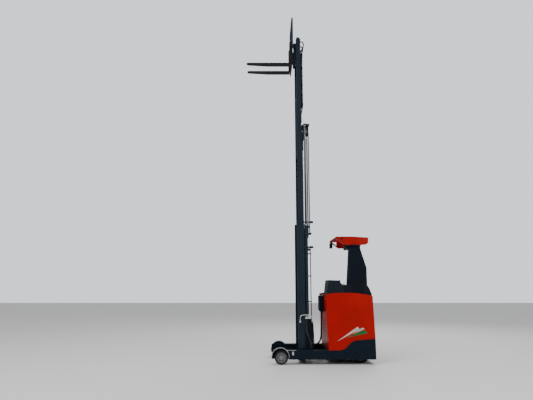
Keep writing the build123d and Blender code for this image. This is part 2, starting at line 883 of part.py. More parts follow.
def control_lever():
    """Control handle on the hood's rear slope, in front of the operator's right hand."""
    base = slope_pad(hood_face_foot, desk_foot, lever_start, lever_end, lever_foot_t, lever_right_y, lever_left_y)
    x = (hood_face_foot[0] + desk_foot[0]) / 2
    z = (hood_face_foot[1] + desk_foot[1]) / 2
    y = (lever_right_y + lever_left_y) / 2
    grip = rod_z(x, y, grip_d, z + 0.6 * lever_foot_t, z + grip_h)
    knob = rod_z(x, y, grip_knob_d, z + grip_h - 8, z + grip_h - 8 + grip_knob_t)
    return base + grip + knob


def display_panel():
    """Display on the hood's slope."""
    return slope_pad(hood_face_top, hood_face_foot, display_start, display_end, display_t, display_right_y,
                     display_left_y)


def steering_wheel():
    """Steering wheel with its knob, flat above the console."""
    x = steer_x
    y = steer_y
    z = console_top_z + steer_lift
    reach = steer_rim_d / 2
    rim = Pos(x, y, z) * Torus(reach, steer_rim_t / 2)
    hub = rod_z(x, y, steer_hub_d, console_top_z + steer_boss_t, z + 10)
    bar = block(x - reach, x + reach, y - steer_bar_w / 2, y + steer_bar_w / 2, z - steer_bar_t / 2,
                z + steer_bar_t / 2)
    knob = rod_z(x + reach - 8, y, steer_knob_d, z, z + steer_knob_h)
    return rim + hub + bar + knob


def steering_boss():
    return rod_z(steer_x, steer_y, steer_boss_d, console_top_z, console_top_z + steer_boss_t - seat_gap)


def hose_box():
    """Closed box on the bulkhead that the reach hose comes out of."""
    top = hose_box_top_z
    foot = hose_box_foot_z
    front = hose_box_front_x
    outline = [(front, top), (bulkhead_x(top) + seat_gap, top), (bulkhead_x(foot) + seat_gap, foot),
               (front - 12, foot), (front, foot + 30)]
    return side_plate(outline, hose_box_right_y, hose_box_left_y)


def drive_mount():
    """Ring plate on four feet that carries the drive unit."""
    top = drive_mount_z + drive_mount_t
    ring = rod_z(drive_x, drive_y, drive_mount_d, drive_mount_z, top)
    for dx, dy in ((1, 1), (1, -1), (-1, 1), (-1, -1)):
        x = drive_x + dx * drive_foot_reach
        y = drive_y + dy * drive_foot_reach
        ring += rod_z(x, y, drive_foot_d, chassis_top_z, top)
    ring -= rod_z(drive_x, drive_y, drive_spindle_d + 4, drive_mount_z - 1, top + 1)
    bay = block(drive_x - drive_mount_d, drive_x + drive_mount_d, tower_y + tower_wall_t + 1, pillar_in_y - 1,
                chassis_top_z, top)
    return ring & bay


def drive_gearcase():
    """Gearcase beside the drive wheel, with its spindle, flange and axle."""
    z_axle = drive_wheel_d / 2
    y0 = drive_y + drive_wheel_w / 2 + gearcase_gap
    y1 = y0 + gearcase_t
    half = gearcase_l / 2
    head_top = drive_mount_z - 6
    head_foot = drive_mount_z - 46
    leg = block(drive_x - half, drive_x + half, y0, y1, z_axle, head_foot + 14)
    leg += rod_y(drive_x, z_axle, gearcase_l, y0, y1)
    head = rod_z(drive_x, drive_y, drive_spindle_d + drive_head_over, head_foot, head_top)
    spindle = rod_z(drive_x, drive_y, drive_spindle_d, head_top - 14, drive_mount_z + drive_mount_t + 20)
    flange_z = drive_mount_z + drive_mount_t + seat_gap
    flange = rod_z(drive_x, drive_y, drive_flange_d, flange_z, flange_z + drive_flange_t)
    axle = rod_y(drive_x, z_axle, drive_axle_d, drive_y - drive_wheel_w / 2, y0 + 4)
    return leg + head + spindle + flange + axle


def drive_motor():
    z = drive_mount_z + drive_mount_t + seat_gap + drive_flange_t
    top = z + drive_motor_h
    motor = rod_z(drive_x, drive_y, drive_motor_d, z, top)
    return motor + rod_z(drive_x, drive_y, drive_motor_d - drive_cap_inset, top, top + drive_cap_h)


def drive_tyre():
    y0 = drive_y - drive_wheel_w / 2
    y1 = y0 + drive_wheel_w
    z = drive_wheel_d / 2
    tyre = rod_y(drive_x, z, drive_wheel_d, y0, y1)
    tyre = fillet(tyre.edges().filter_by(GeomType.CIRCLE), tyre_round)
    return tyre - rod_y(drive_x, z, drive_hub_d, y0 - 1, y1 + 1)


def drive_hub():
    y0 = drive_y - drive_wheel_w / 2
    y1 = y0 + drive_wheel_w
    z = drive_wheel_d / 2
    hub = rod_y(drive_x, z, drive_hub_d, y0, y1)
    return hub - rod_y(drive_x, z, drive_axle_d + 2 * pin_gap, y0 - 1, y1 + 1)


def castor_fork():
    """Swivel plate, spindle and the web that carries the twin wheels."""
    top = chassis_top_z - base_plate_t - seat_gap
    plate = rod_z(castor_x, castor_y, castor_plate_d, top - castor_plate_t, top)
    spindle = rod_z(castor_x, castor_y, castor_spindle_d, top - 4, chassis_top_z - 2)
    wheel_x = castor_x - castor_trail
    z = castor_wheel_d / 2
    half = castor_web_t / 2
    web = side_plate([(castor_x + 34, top - 4), (castor_x + 20, top - 60), (wheel_x + 26, z - 12),
                      (wheel_x - 26, z - 12), (wheel_x - 30, z + 30), (castor_x - 60, top - 4)],
                     castor_y - half, castor_y + half)
    reach = half + castor_wheel_gap + castor_wheel_w
    axle = rod_y(wheel_x, z, castor_axle_d, castor_y - reach, castor_y + reach)
    return plate + spindle + web + axle


def castor_wheels():
    wheel_x = castor_x - castor_trail
    z = castor_wheel_d / 2
    near = castor_web_t / 2 + castor_wheel_gap
    wheels = []
    for side in (1, -1):
        y0 = castor_y + side * near
        y1 = castor_y + side * (near + castor_wheel_w)
        wheel = rod_y(wheel_x, z, castor_wheel_d, y0, y1)
        wheel = fillet(wheel.edges().filter_by(GeomType.CIRCLE), castor_round)
        wheel -= rod_y(wheel_x, z, castor_axle_d + 2 * pin_gap, min(y0, y1) - 1, max(y0, y1) + 1)
        wheels.append(wheel)
    return Compound(children=wheels)


def reach_cylinder():
    """Reach cylinder's tube, through the front cross plate."""
    front = chassis_front_x + reach_tube_front
    rear = front - reach_tube_l
    z = reach_cylinder_z
    tube = rod_x(0, z, reach_tube_d, front, rear)
    tube -= rod_x(0, z, reach_tube_bore, front - reach_gland_t, rear + 20)
    tube -= rod_x(0, z, reach_rod_d + 2 * pin_gap, front + 1, front - reach_gland_t - 1)
    foot = block(rear, rear + reach_foot_t, -30, 30, z, chassis_top_z - base_plate_t)
    return tube + (foot - rod_x(0, z, reach_tube_d - 4, rear - 1, rear + reach_foot_t + 1))


def reach_rod():
    """Reach cylinder's rod, with its piston and its nut on the carriage."""
    eye_x = carriage_back_x
    gland = chassis_front_x + reach_tube_front - reach_gland_t
    end = gland - reach_spare - reach_out
    rod = rod_x(0, reach_cylinder_z, reach_rod_d, eye_x, end)
    piston = rod_x(0, reach_cylinder_z, reach_tube_bore - 4 * pin_gap, end, end + reach_piston_t)
    nut = rod_x(0, reach_cylinder_z, reach_nut_d, eye_x, eye_x - reach_nut_t)
    return rod + piston + nut


def mast_carriage():
    """Reach carriage: side plates with rollers in the legs' rails, a rear wall and a base plate."""
    y0 = carriage_y
    y1 = y0 + carriage_plate_t
    low = carriage_foot_z
    shape = [(carriage_nose_x, low), (carriage_nose_x, carriage_nose_z), (carriage_knee_x, carriage_knee_z),
             (carriage_head_x, carriage_back_z), (carriage_back_x + carriage_step, carriage_back_z),
             (carriage_back_x, carriage_back_z - carriage_corner), (carriage_back_x, low)]
    plate = side_plate(shape, y0, y1)
    roller_d = chassis_top_z - ground_clearance - 2 * rail_flange_t - rail_roller_play
    roller_z = ground_clearance + rail_flange_t + runner_gap + roller_d / 2
    roller_y = rail_inner_y + 2
    for x in (roller_front_x, roller_rear_x):
        plate += rod_y(x, roller_z, rail_pin_d, y1 - 1, roller_y + 1)
        plate += rod_y(x, roller_z, roller_d, roller_y, roller_y + rail_roller_w)
    frame = plate + mirrored(plate)
    frame += block(carriage_back_x, carriage_back_x + carriage_wall_t, -y0, y0, low, carriage_wall_top_z)
    frame += block(outer_rear_x - 2, carriage_back_x, -y0, y0, low, low + carriage_base_t)
    room = block(outer_rear_x - 1, 0, outer_in_y - 10, outer_half_w, 0, outer_top_z)
    return frame - room - mirrored(room)


def channel(front_x, depth, half, web_t, flange_w, flange_t, z0, z1):
    """One mast channel on the left side, open towards the middle."""
    web = block(front_x, front_x - depth, half - web_t, half, z0, z1)
    front = block(front_x, front_x - flange_t, half - web_t - flange_w, half, z0, z1)
    rear = block(front_x - depth + flange_t, front_x - depth, half - web_t - flange_w, half, z0, z1)
    return web + front + rear


def stage_roller(front_x, flange_t, depth, web_out_y, flange_w, z):
    """Roller on a stage's outer side, running on the front flange of the channel round it."""
    d = depth - 2 * flange_t - stage_roller_play
    x = front_x - flange_t - runner_gap - d / 2
    reach = stage_gap + flange_w - 4
    return rod_y(x, z, d, web_out_y + 2, web_out_y + reach) + rod_y(x, z, stage_pin_d, web_out_y - 4, web_out_y + 4)


def rear_plate(z, middle_open):
    """Plate behind the outer uprights, holed for the lift cylinders; its middle may be left open."""
    top = z + rear_plate_t
    front = outer_rear_x + 8
    plate = block(front, rear_plate_x, -outer_half_w, outer_half_w, z, top)
    room = outer_in_y - 2
    plate -= block(front + 1, outer_tie_x, -room, room, z - 1, top + 1)
    if middle_open:
        half = loop_half_w + 10
        plate -= block(front + 1, rear_plate_x - 1, -half, half, z - 1, top + 1)
    for side in (1, -1):
        plate -= rod_z(lift_cylinder_x, side * lift_cylinder_y, lift_tube_d + 2 * seat_gap, z - 1, top + 1)
    return plate


def rear_lugs(y, z, rear):
    """A pair of round-ended lugs that stand out behind the rear plates."""
    middle = z + rear_plate_t / 2
    half = bracket_h / 2
    lug = block(rear_plate_x + 1, rear + half, y, y + bracket_w, middle - half, middle + half)
    lug += rod_y(rear + half, middle, bracket_h, y, y + bracket_w)
    return lug + mirrored(lug)


def outer_mast():
    """Outer uprights with foot plate, rear plates, ties and rod clamps."""
    low = mast_foot_z
    rear = outer_rear_x
    left = channel(outer_front_x, outer_depth, outer_half_w, outer_web_t, outer_flange_w, outer_flange_t,
                   low, outer_top_z)
    mast = left + mirrored(left)
    mast += block(outer_front_x - 2, rear, -outer_half_w, outer_half_w, low - foot_plate_t, low)
    low_plate_z = outer_top_z - low_plate_drop
    high_plate_z = outer_top_z - high_plate_drop
    mast += rear_plate(low_plate_z, False) + rear_plate(high_plate_z, True)
    clamp_z = outer_top_z - clamp_drop
    clamp = block(rear + 4, rear_plate_x, outer_in_y, outer_half_w, clamp_z, clamp_z + rear_plate_t)
    clamp -= rod_z(lift_cylinder_x, lift_cylinder_y, lift_rod_d + 8, clamp_z - 1, clamp_z + rear_plate_t + 1)
    mast += clamp + mirrored(clamp)
    lug_y = outer_in_y - bracket_w
    mast += rear_lugs(lug_y, low_plate_z, bracket_rear_x) + rear_lugs(lug_y, high_plate_z, short_bracket_x)
    mast += rear_lugs(outer_in_y + 2, clamp_z, bracket_rear_x)
    tie_rear = outer_tie_x - outer_tie_t
    half = lift_cylinder_y - lift_tube_d / 2 - tie_cheek_t - 3
    tie_top = low_plate_z + rear_plate_t
    mast += block(outer_tie_x, tie_rear, -half, half, tie_top - upper_tie_h, tie_top)
    high = low_tie_z + low_tie_h
    mast += block(outer_tie_x, tie_rear, -half - 8, half + 8, low_tie_z, high)
    cheek = block(rear - 6, tie_rear, half, half + tie_cheek_t, low_tie_z, high)
    cheek += block(rear + 2, rear - 6, half, outer_half_w, low_tie_z, high)
    return mast + cheek + mirrored(cheek)


def lift_cylinders():
    """Two lift cylinders behind the outer uprights, bored for their rods."""
    foot = carriage_foot_z + carriage_base_t
    top = lift_tube_top_z
    tubes = []
    for side in (1, -1):
        y = side * lift_cylinder_y
        tube = rod_z(lift_cylinder_x, y, lift_tube_d, foot, top)
        tube -= rod_z(lift_cylinder_x, y, lift_tube_bore, foot + 20, top - lift_gland_t)
        tube -= rod_z(lift_cylinder_x, y, lift_rod_d + 2 * pin_gap, top - lift_gland_t - 1, top + 1)
        tubes.append(tube)
    return Compound(children=tubes)


def lift_rods():
    foot = lift_tube_top_z - lift_rod_in
    rods = [rod_z(lift_cylinder_x, side * lift_cylinder_y, lift_rod_d, foot, crosshead_z) for side in (1, -1)]
    return Compound(children=rods)


def mast_pipes():
    """Hydraulic pipes: one up the mast's rear and one bent pipe over the carriage's side plate."""
    lug_foot = outer_top_z - low_plate_drop + (rear_plate_t - bracket_h) / 2
    rise = rod_z(pipe_x, pipe_y, rise_pipe_d, carriage_wall_top_z + seat_gap, lug_foot - seat_gap)
    y = carriage_y + carriage_plate_t + pipe_d / 2 + seat_gap
    z = bent_pipe_z
    front = outer_front_x - 35
    rear = carriage_back_x + 15
    bent = hose("bent pipe", [(rear, y, z - 122), (rear, y, z - 48), (rear + 20, y, z - 15), (rear + 63, y, z - 3),
                              (-430, y, z), (front - 37, y, z - 4), (front - 4, y, z - 26), (front, y, z - 68),
                              (front, y, z - 103)], pipe_d)
    fitting = block(front + 14, front - 14, outer_half_w + seat_gap, y + 8, z - 133, z - 103)
    return Compound(children=[rise, bent + fitting])


def middle_mast():
    """Middle uprights with rollers, end ties and the crosshead that the lift rods push."""
    z0 = middle_foot_z
    z1 = middle_top_z
    rear = middle_rear_x
    left = channel(middle_front_x, middle_depth, middle_half_w, middle_web_t, middle_flange_w,
                   middle_flange_t, z0, z1)
    for z in (z0 + 70, z0 + 330):
        left += stage_roller(outer_front_x, outer_flange_t, outer_depth, middle_half_w, outer_flange_w, z)
    mast = left + mirrored(left)
    tie_x = rear + 6
    half = middle_in_y + 6
    mast += block(tie_x, tie_x - middle_tie_t, -half, half, z0, z0 + middle_tie_h)
    head_top = crosshead_z + crosshead_t
    front = outer_rear_x - stage_gap
    half = lift_cylinder_y + crosshead_over
    head = block(front, crosshead_rear_x, -half, half, crosshead_z, head_top)
    inner = loop_half_w + 10
    bar_x = crosshead_rear_x + crosshead_bar_t
    bar_z = z1 - crosshead_bar_h
    rib_z = z1 - crosshead_rib_h
    head += block(bar_x, crosshead_rear_x, -inner, inner, bar_z, head_top)
    rib = block(rear + 4, front - 2, inner, middle_half_w, rib_z, head_top)
    rib += block(bar_x, crosshead_rear_x, inner, inner + crosshead_bar_t, bar_z, head_top)
    rib += block(front, bar_x - 1, loop_half_w, loop_half_w + 8, rib_z, head_top)
    head += rib + mirrored(rib)
    room = block(rear + 20, bar_x + 19, -loop_half_w, loop_half_w, z1 - 200, head_top + 1)
    mast += head - room
    lug_shape = [(sheave_x + 29, crosshead_z), (sheave_x + 29, sheave_z), (sheave_x, sheave_z - 22),
                 (sheave_x - 29, sheave_z), (crosshead_rear_x + 2, crosshead_z)]
    for y in (chain_y - sheave_w / 2 - 2 - sheave_lug_t, chain_y + sheave_w / 2 + 2):
        lug = side_plate(lug_shape, y, y + sheave_lug_t)
        mast += lug + mirrored(lug)
    return mast


def mast_sheaves():
    """Chain sheaves and hose sheaves under the crosshead."""
    wheels = []
    for side in (1, -1):
        for y in (side * chain_y, side * hose_y):
            wheels.append(rod_y(sheave_x, sheave_z, sheave_d, y - sheave_w / 2, y + sheave_w / 2))
    return Compound(children=wheels)


def strand(x, y, width, thick, z0, z1):
    return block(x - thick / 2, x + thick / 2, y - width / 2, y + width / 2, z0, z1)


def mast_lines(x_side, z0, z1):
    """A pair of chains and a pair of hose bands down one side of the crosshead's sheaves."""
    strands = []
    for y, width, thick in ((chain_y, chain_w, chain_t), (hose_y, hose_w, hose_t)):
        x = sheave_x + x_side * (sheave_d / 2 + thick / 2 + seat_gap)
        strands += [strand(x, side * y, width, thick, z0, z1) for side in (1, -1)]
    return Compound(children=strands)


def inner_mast():
    """Inner uprights with rollers, rear ties and chain anchors at the foot."""
    z0 = inner_foot_z
    z1 = inner_top_z
    rear = inner_rear_x
    left = channel(inner_front_x, inner_depth, inner_half_w, inner_web_t, inner_flange_w, inner_flange_t,
                   z0, z1)
    for z in (z0 + 50, z0 + 290):
        left += stage_roller(middle_front_x, middle_flange_t, middle_depth, inner_half_w, middle_flange_w, z)
    anchor_x = sheave_x + sheave_d / 2 + seat_gap
    anchor_z = z0 + anchor_lift
    anchor_top = anchor_z + anchor_h
    left += block(rear + 2, anchor_x, chain_y - 12, chain_y + 8, anchor_z, anchor_top)
    left += block(rear + 2, anchor_x, hose_y - 12, inner_half_w - 20, anchor_z + 10, anchor_top)
    mast = left + mirrored(left)
    half = inner_in_y + 4
    ties = ((z0 + inner_low_tie_lift, inner_low_tie_h), (z0 + inner_mid_tie_lift, inner_tie_h),
            (z0 + inner_strap_tie_lift, inner_tie_h), (z1 - inner_high_tie_drop, inner_tie_h),
            (z1 - inner_head_tie_drop, inner_head_tie_h))
    for low, height in ties:
        mast += block(rear, rear + inner_tie_t, -half, half, low, low + height)
    head = side_plate([(inner_front_x - 4, z1 - 1), (inner_front_x - 16, z1 + head_plate_rise - 8),
                       (inner_front_x - 30, z1 + head_plate_rise), (inner_front_x - 48, z1 + head_plate_rise),
                       (rear + 4, z1 + 6), (rear + 4, z1 - 1)], inner_half_w - head_plate_t, inner_half_w)
    mast += head + mirrored(head)
    mast += block(inner_front_x, rear, -half, half, z0, z0 + inner_foot_t)
    return mast


def free_lift_cylinder():
    """Short cylinder between the inner uprights, on their foot plate and strapped to a tie."""
    foot = inner_foot_z + inner_foot_t
    top = free_tube_top_z
    tube = rod_z(free_x, 0, free_tube_d, foot, top)
    tube -= rod_z(free_x, 0, free_tube_bore, foot + 20, top - free_gland_t)
    tube -= rod_z(free_x, 0, free_rod_d + 2 * pin_gap, top - free_gland_t - 1, top + 1)
    core = rod_z(free_x, 0, free_tube_d - 6, foot + 1, top)
    collar_z = top - collar_drop
    collar = block(free_x - 34, free_x + 10, -collar_half_w, collar_half_w, collar_z, collar_z + collar_h)
    strap_z = top - strap_drop
    strap = block(free_x - 30, inner_rear_x + inner_tie_t, -strap_half_w, strap_half_w, strap_z,
                  strap_z + strap_h)
    return tube + (collar - core) + (strap - core)


def free_lift_head():
    """Free lift rod with its head and two chain sheaves."""
    foot = free_tube_top_z - 110
    z = free_head_z
    rod = rod_z(free_x, 0, free_rod_d, foot, z)
    head = block(free_x - free_head_l / 2, free_x + free_head_l / 2, -free_head_w / 2, free_head_w / 2, z - 20,
                 z + 60)
    pin = rod_y(free_x, z + 20, free_pin_d, -collar_half_w, collar_half_w)
    body = rod + head + pin
    for side in (1, -1):
        y = side * (free_chain_y + 1)
        body += rod_y(free_x, z + 20, free_sheave_d, y - free_sheave_w / 2, y + free_sheave_w / 2)
    return body


def free_run(x_offset, z0, z1):
    x = free_x + x_offset * (free_sheave_d / 2 + free_chain_t / 2 + seat_gap)
    return Compound(children=[strand(x, side * free_chain_y, chain_w, free_chain_t, z0, z1) for side in (1, -1)])


def top_hoses():
    """A pair of hoses down the rear of the inner mast, clipped to its ties, with a loop at the top."""
    y = mast_hose_y
    x = inner_rear_x - mast_hose_d / 2
    foot = inner_foot_z + inner_mid_tie_lift + inner_tie_h / 2
    high = inner_top_z - inner_high_tie_drop + inner_tie_h / 2
    head = inner_top_z - inner_head_tie_drop + inner_head_tie_h / 2
    line = hose("mast rear hose", [(x, y, foot), (x, y, foot + 150), (x - 18, y, foot + 230),
                                   (x - 34, y, foot + 320), (x - 34, y, foot + 400), (x - 14, y, foot + 490),
                                   (x, y, foot + 550), (x, y, high)], mast_hose_d)
    loop = hose("mast top loop", [(x, y, high), (x, y, head - 130), (x - 12, y, head - 90),
                                  (x - 48, y, head - 30), (x - 66, y, head + 30), (x - 62, y, head + 80),
                                  (x - 30, y, head + 112), (inner_rear_x + inner_tie_t, y, head + 96)], mast_hose_d)
    pieces = [line, loop]
    for z, deep in ((foot, 12), (high, 40)):
        pieces.append(block(inner_rear_x - seat_gap, x - deep, y - clip_w / 2, y + clip_w / 2, z - clip_h / 2,
                            z + clip_h / 2))
    left = fused(pieces)
    return Compound(children=[left, mirrored(left)])


def lift_carriage():
    """Carriage in the inner uprights: side plates with rollers, cross plates and tilt lugs."""
    y1 = inner_in_y - stage_gap
    y0 = y1 - carriage_side_t
    z0 = lift_carriage_foot_z
    z1 = fork_top_z + lift_carriage_rise
    front = lift_carriage_front_x
    rear = inner_rear_x + inner_tie_t + stage_gap
    nose_z = tilt_pin_z - tilt_lug_h
    side = side_plate([(front, z0), (lift_carriage_nose_x, nose_z), (lift_carriage_nose_x, z1), (rear, z1),
                       (rear, z0)], y0, y1)
    roller_x = inner_front_x - inner_flange_t - runner_gap - carriage_roller_d / 2
    roller_y = y1 + stage_gap + 1
    for z in (z0 + 40, z1 - 50):
        side += rod_y(roller_x, z, carriage_pin_d, y1 - 1, roller_y + 1)
        side += rod_y(roller_x, z, carriage_roller_d, roller_y, roller_y + inner_flange_w - 4)
    lug_y = tilt_lug_y + tilt_lug_t
    side += block(tilt_pin_x - 10, front - 28, tilt_lug_y, lug_y, tilt_pin_z - 34, tilt_pin_z + tilt_lug_h)
    side += rod_y(tilt_pin_x, tilt_pin_z, 2 * tilt_lug_h, tilt_lug_y, lug_y)
    side += rod_y(tilt_pin_x, tilt_pin_z, tilt_pin_d, tilt_lug_y, hanger_y + hanger_w + 7)
    lug_z = lift_carriage_foot_z + chain_lug_rise
    side += block(front - 19, front - 44, free_chain_y - 14, free_chain_y + 14, lug_z, lug_z + chain_lug_h)
    body = side + mirrored(side)
    high_z = fork_top_z + carriage_high_cross_rise
    for low, height in ((z0 + 5, carriage_low_cross_h), (high_z, carriage_high_cross_h)):
        body += block(front, front - carriage_cross_t, -y0 - 1, y0 + 1, low, low + height)
    return body


def fork_frame():
    """Tilting frame that the forks hang on, hinged near its top."""
    back = fork_front_x - fork_shank_t - seat_gap
    rear = back - frame_bar_t
    w = frame_half_w
    low = fork_top_z - frame_foot_drop
    high = fork_top_z + frame_high_bar_rise
    frame = block(back, rear, -w, w, high, high + frame_high_bar_h)
    frame += block(back, rear, -w, w, low, low + frame_low_bar_h)
    side = block(back, rear, w - frame_end_w, w, low, backrest_foot_z)
    side += block(back, rear, hanger_y, hanger_y + hanger_w, low, fork_top_z + hanger_rise)
    side += block(back, tilt_pin_x, hanger_y, hanger_y + hanger_w, tilt_pin_z - tilt_lug_h,
                  tilt_pin_z + tilt_lug_h)
    side += rod_y(tilt_pin_x, tilt_pin_z, 2 * tilt_lug_h, hanger_y, hanger_y + hanger_w)
    side -= rod_y(tilt_pin_x, tilt_pin_z, tilt_pin_d + 2 * pin_gap, hanger_y - 1, hanger_y + hanger_w + 8)
    return frame + side + mirrored(side)


def load_backrest():
    """Lattice above the forks."""
    front = fork_front_x - fork_shank_t - seat_gap
    back = front - backrest_depth
    w = frame_half_w
    foot = backrest_foot_z
    top = backrest_top_z
    low = foot + backrest_low_rise
    rest = block(back, front, -w, w, top - backrest_rail_w, top)
    rest += block(back, front, -w, w, low, low + backrest_rail_w)
    post = block(back, front, w - backrest_rail_w, w, foot, top)
    rest += post + mirrored(post)
    step = 2 * w / (backrest_bars + 1)
    half = backrest_slat_w / 2
    for i in range(backrest_bars):
        y = -w + step * (i + 1)
        rest += block(front - 3 - backrest_slat_t, front - 3, y - half, y + half, low + 10, top)
    return rest


def forks():
    """Two forks: tapered blade, heel and shank with a hook on the frame's top bar."""
    back = fork_front_x - fork_shank_t
    foot = fork_top_z - fork_t
    head = fork_top_z + fork_shank_h
    shape = [(fork_tip_x, fork_top_z), (fork_tip_x, fork_top_z - fork_tip_t), (fork_taper_x, foot),
             (back + fork_heel, foot), (back, foot + fork_heel), (back, head), (fork_front_x, head),
             (fork_front_x, fork_top_z + 12), (fork_front_x + 12, fork_top_z)]
    tines = []
    for side in (1, -1):
        y = side * fork_spacing / 2
        tine = side_plate(shape, y - fork_w / 2, y + fork_w / 2)
        tip = tine.edges().filter_by(Axis.Z).sort_by(Axis.X)[-2:]
        tines.append(fillet(tip, fork_tip_r))
    return Compound(children=tines)


def reach_hose():
    """Hose loom from the hose box down to the reach carriage."""
    points = [(-752, 140, hose_box_foot_z - seat_gap), (-752, 140, 838), (-748, 142, 790), (-740, 146, 728),
              (-735, 150, 600), (-733, 148, 495), (-727, 144, 417), (-706, 142, 350),
              (-668, 140, 305), (-622, 140, 285), (carriage_back_x - seat_gap, 140, 285)]
    return hose("reach hose", points, reach_hose_d)


def build_parts():
    """All pieces by name."""
    parts = {}
    parts["chassis_frame"] = chassis_frame()
    parts["chassis_skirt"] = chassis_skirt()
    for name, side in SIDES:
        parts["straddle_leg_" + name] = straddle_leg(side)
        parts["load_axle_" + name] = load_axle(side)
        parts["load_tyre_" + name] = load_tyre(side)
        parts["load_hub_" + name] = load_hub(side)
        parts["side_panel_" + name] = side_panel(side)
    parts["front_bulkhead"] = front_bulkhead()
    parts["battery_block"] = battery_block()
    parts["operator_wall"] = operator_wall()
    parts["drive_bay_cover"] = drive_bay_cover()
    parts["console_cowl"] = console_cowl() + steering_boss()
    parts["front_hood"] = front_hood()
    parts["operator_floor"] = operator_floor()
    parts["foot_pedals"] = foot_pedals()
    parts["knee_pad"] = knee_pad()
    parts["lean_pad"] = lean_pad()
    parts["control_lever"] = control_lever()
    parts["display_panel"] = display_panel()
    parts["guard_pillar"] = guard_pillar()
    parts["overhead_guard"] = overhead_guard()
    parts["guard_lamp"] = guard_lamp()
    parts["hose_box"] = hose_box()
    parts["drive_mount"] = drive_mount()
    parts["reach_cylinder"] = reach_cylinder()
    parts["steering_wheel"] = steering_wheel()
    parts["drive_gearcase"] = drive_gearcase()
    parts["drive_motor"] = drive_motor()
    parts["drive_tyre"] = drive_tyre()
    parts["drive_hub"] = drive_hub()
    parts["castor_fork"] = castor_fork()
    parts["castor_wheels"] = castor_wheels()
    parts["mast_carriage"] = mast_carriage()
    parts["reach_rod"] = reach_rod()
    parts["reach_hose"] = reach_hose()
    parts["outer_mast"] = outer_mast()
    parts["lift_cylinders"] = lift_cylinders()
    parts["mast_pipes"] = mast_pipes()
    parts["middle_mast"] = middle_mast()
    parts["lift_rods"] = lift_rods()
    parts["mast_sheaves"] = mast_sheaves()
    parts["mast_lines_rear"] = mast_lines(-1, line_anchor_z, sheave_z)
    parts["mast_lines_front"] = mast_lines(1, inner_foot_z + anchor_lift + anchor_h, sheave_z)
    parts["inner_mast"] = inner_mast()
    parts["free_lift_cylinder"] = free_lift_cylinder()
    parts["top_hoses"] = top_hoses()
    parts["free_lift_head"] = free_lift_head()
    sheave_line_z = free_head_z + 20
    parts["carriage_chains_rear"] = free_run(-1, free_tube_top_z - collar_drop + collar_h, sheave_line_z)
    parts["carriage_chains_front"] = free_run(1, lift_carriage_foot_z + chain_lug_rise + chain_lug_h, sheave_line_z)
    parts["lift_carriage"] = lift_carriage()
    parts["fork_frame"] = fork_frame()
    parts["load_backrest"] = load_backrest()
    parts["forks"] = forks()
    return parts


os.makedirs("parts", exist_ok=True)
for part_name, shape in build_parts().items():
    export_step(Pos(-origin_x, 0, 0) * shape, "parts/" + part_name + ".step")
print("origin_x", origin_x)
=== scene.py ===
"""Looks of a stand-up reach truck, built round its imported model.

The file is laid out as an add-on: every piece or group of like pieces is an operator.
X runs forward along the forks, Y to the truck's left, Z up. Lengths are metres, and the tables
of small parts are in millimetres from the load wheels' axle line, the truck's middle and the floor.
"""

import json
import math

import bmesh
import bpy
from bpy.props import FloatProperty, FloatVectorProperty, PointerProperty
from mathutils import Matrix, Vector, noise
from mathutils.bvhtree import BVHTree

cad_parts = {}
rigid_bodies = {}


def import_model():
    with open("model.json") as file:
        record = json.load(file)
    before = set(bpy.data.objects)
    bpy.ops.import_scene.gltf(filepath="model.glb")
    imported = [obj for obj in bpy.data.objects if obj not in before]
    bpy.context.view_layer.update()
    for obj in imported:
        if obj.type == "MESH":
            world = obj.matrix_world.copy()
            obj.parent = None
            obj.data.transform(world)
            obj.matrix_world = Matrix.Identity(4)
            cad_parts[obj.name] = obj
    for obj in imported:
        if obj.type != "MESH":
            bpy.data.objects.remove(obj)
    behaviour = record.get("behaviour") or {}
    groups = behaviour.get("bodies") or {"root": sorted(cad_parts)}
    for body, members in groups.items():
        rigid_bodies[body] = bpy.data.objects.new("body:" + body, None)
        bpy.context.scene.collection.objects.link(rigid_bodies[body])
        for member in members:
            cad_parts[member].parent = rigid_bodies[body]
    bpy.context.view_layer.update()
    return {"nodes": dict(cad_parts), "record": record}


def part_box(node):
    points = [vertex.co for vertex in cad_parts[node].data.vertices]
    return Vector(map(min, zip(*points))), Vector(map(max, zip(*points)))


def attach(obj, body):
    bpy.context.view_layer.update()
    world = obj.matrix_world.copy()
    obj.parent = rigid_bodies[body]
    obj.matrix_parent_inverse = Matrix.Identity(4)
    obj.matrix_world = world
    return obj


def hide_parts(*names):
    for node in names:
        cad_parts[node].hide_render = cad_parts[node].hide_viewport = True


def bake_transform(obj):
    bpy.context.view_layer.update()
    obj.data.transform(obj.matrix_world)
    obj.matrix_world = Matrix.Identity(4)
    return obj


bl_info = {
    "name": "Reach Truck Dressing",
    "version": (1, 0, 0),
    "blender": (4, 5, 0),
    "location": "View3D > Sidebar > Reach Truck",
    "description": "Paints and details the packed model of a stand-up reach truck",
    "category": "Object",
}

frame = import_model()
NODES = frame["nodes"]
WHEEL_LOW, WHEEL_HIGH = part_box("load_tyre_left")
AXLE = (WHEEL_LOW + WHEEL_HIGH) / 2

# Ways that a small part points; OUT is to the left, and turns round with a part's mirror image
UP, OUT, RIGHT, AHEAD, BACK = (0, 0, 1), (0, 1, 0), (0, -1, 0), (1, 0, 0), (-1, 0, 0)


def at(x, y, z):
    """A point measured from the load wheels' axle line, the truck's middle and the floor."""
    return Vector((AXLE.x + x, y, z))


def mm(x, y, z):
    """The same point given in millimetres."""
    return at(x / 1000, y / 1000, z / 1000)


def turns(count, offset=0.0):
    """Angles that share a full turn evenly."""
    return [2 * math.pi * (i + offset) / count for i in range(count)]


# Node helpers


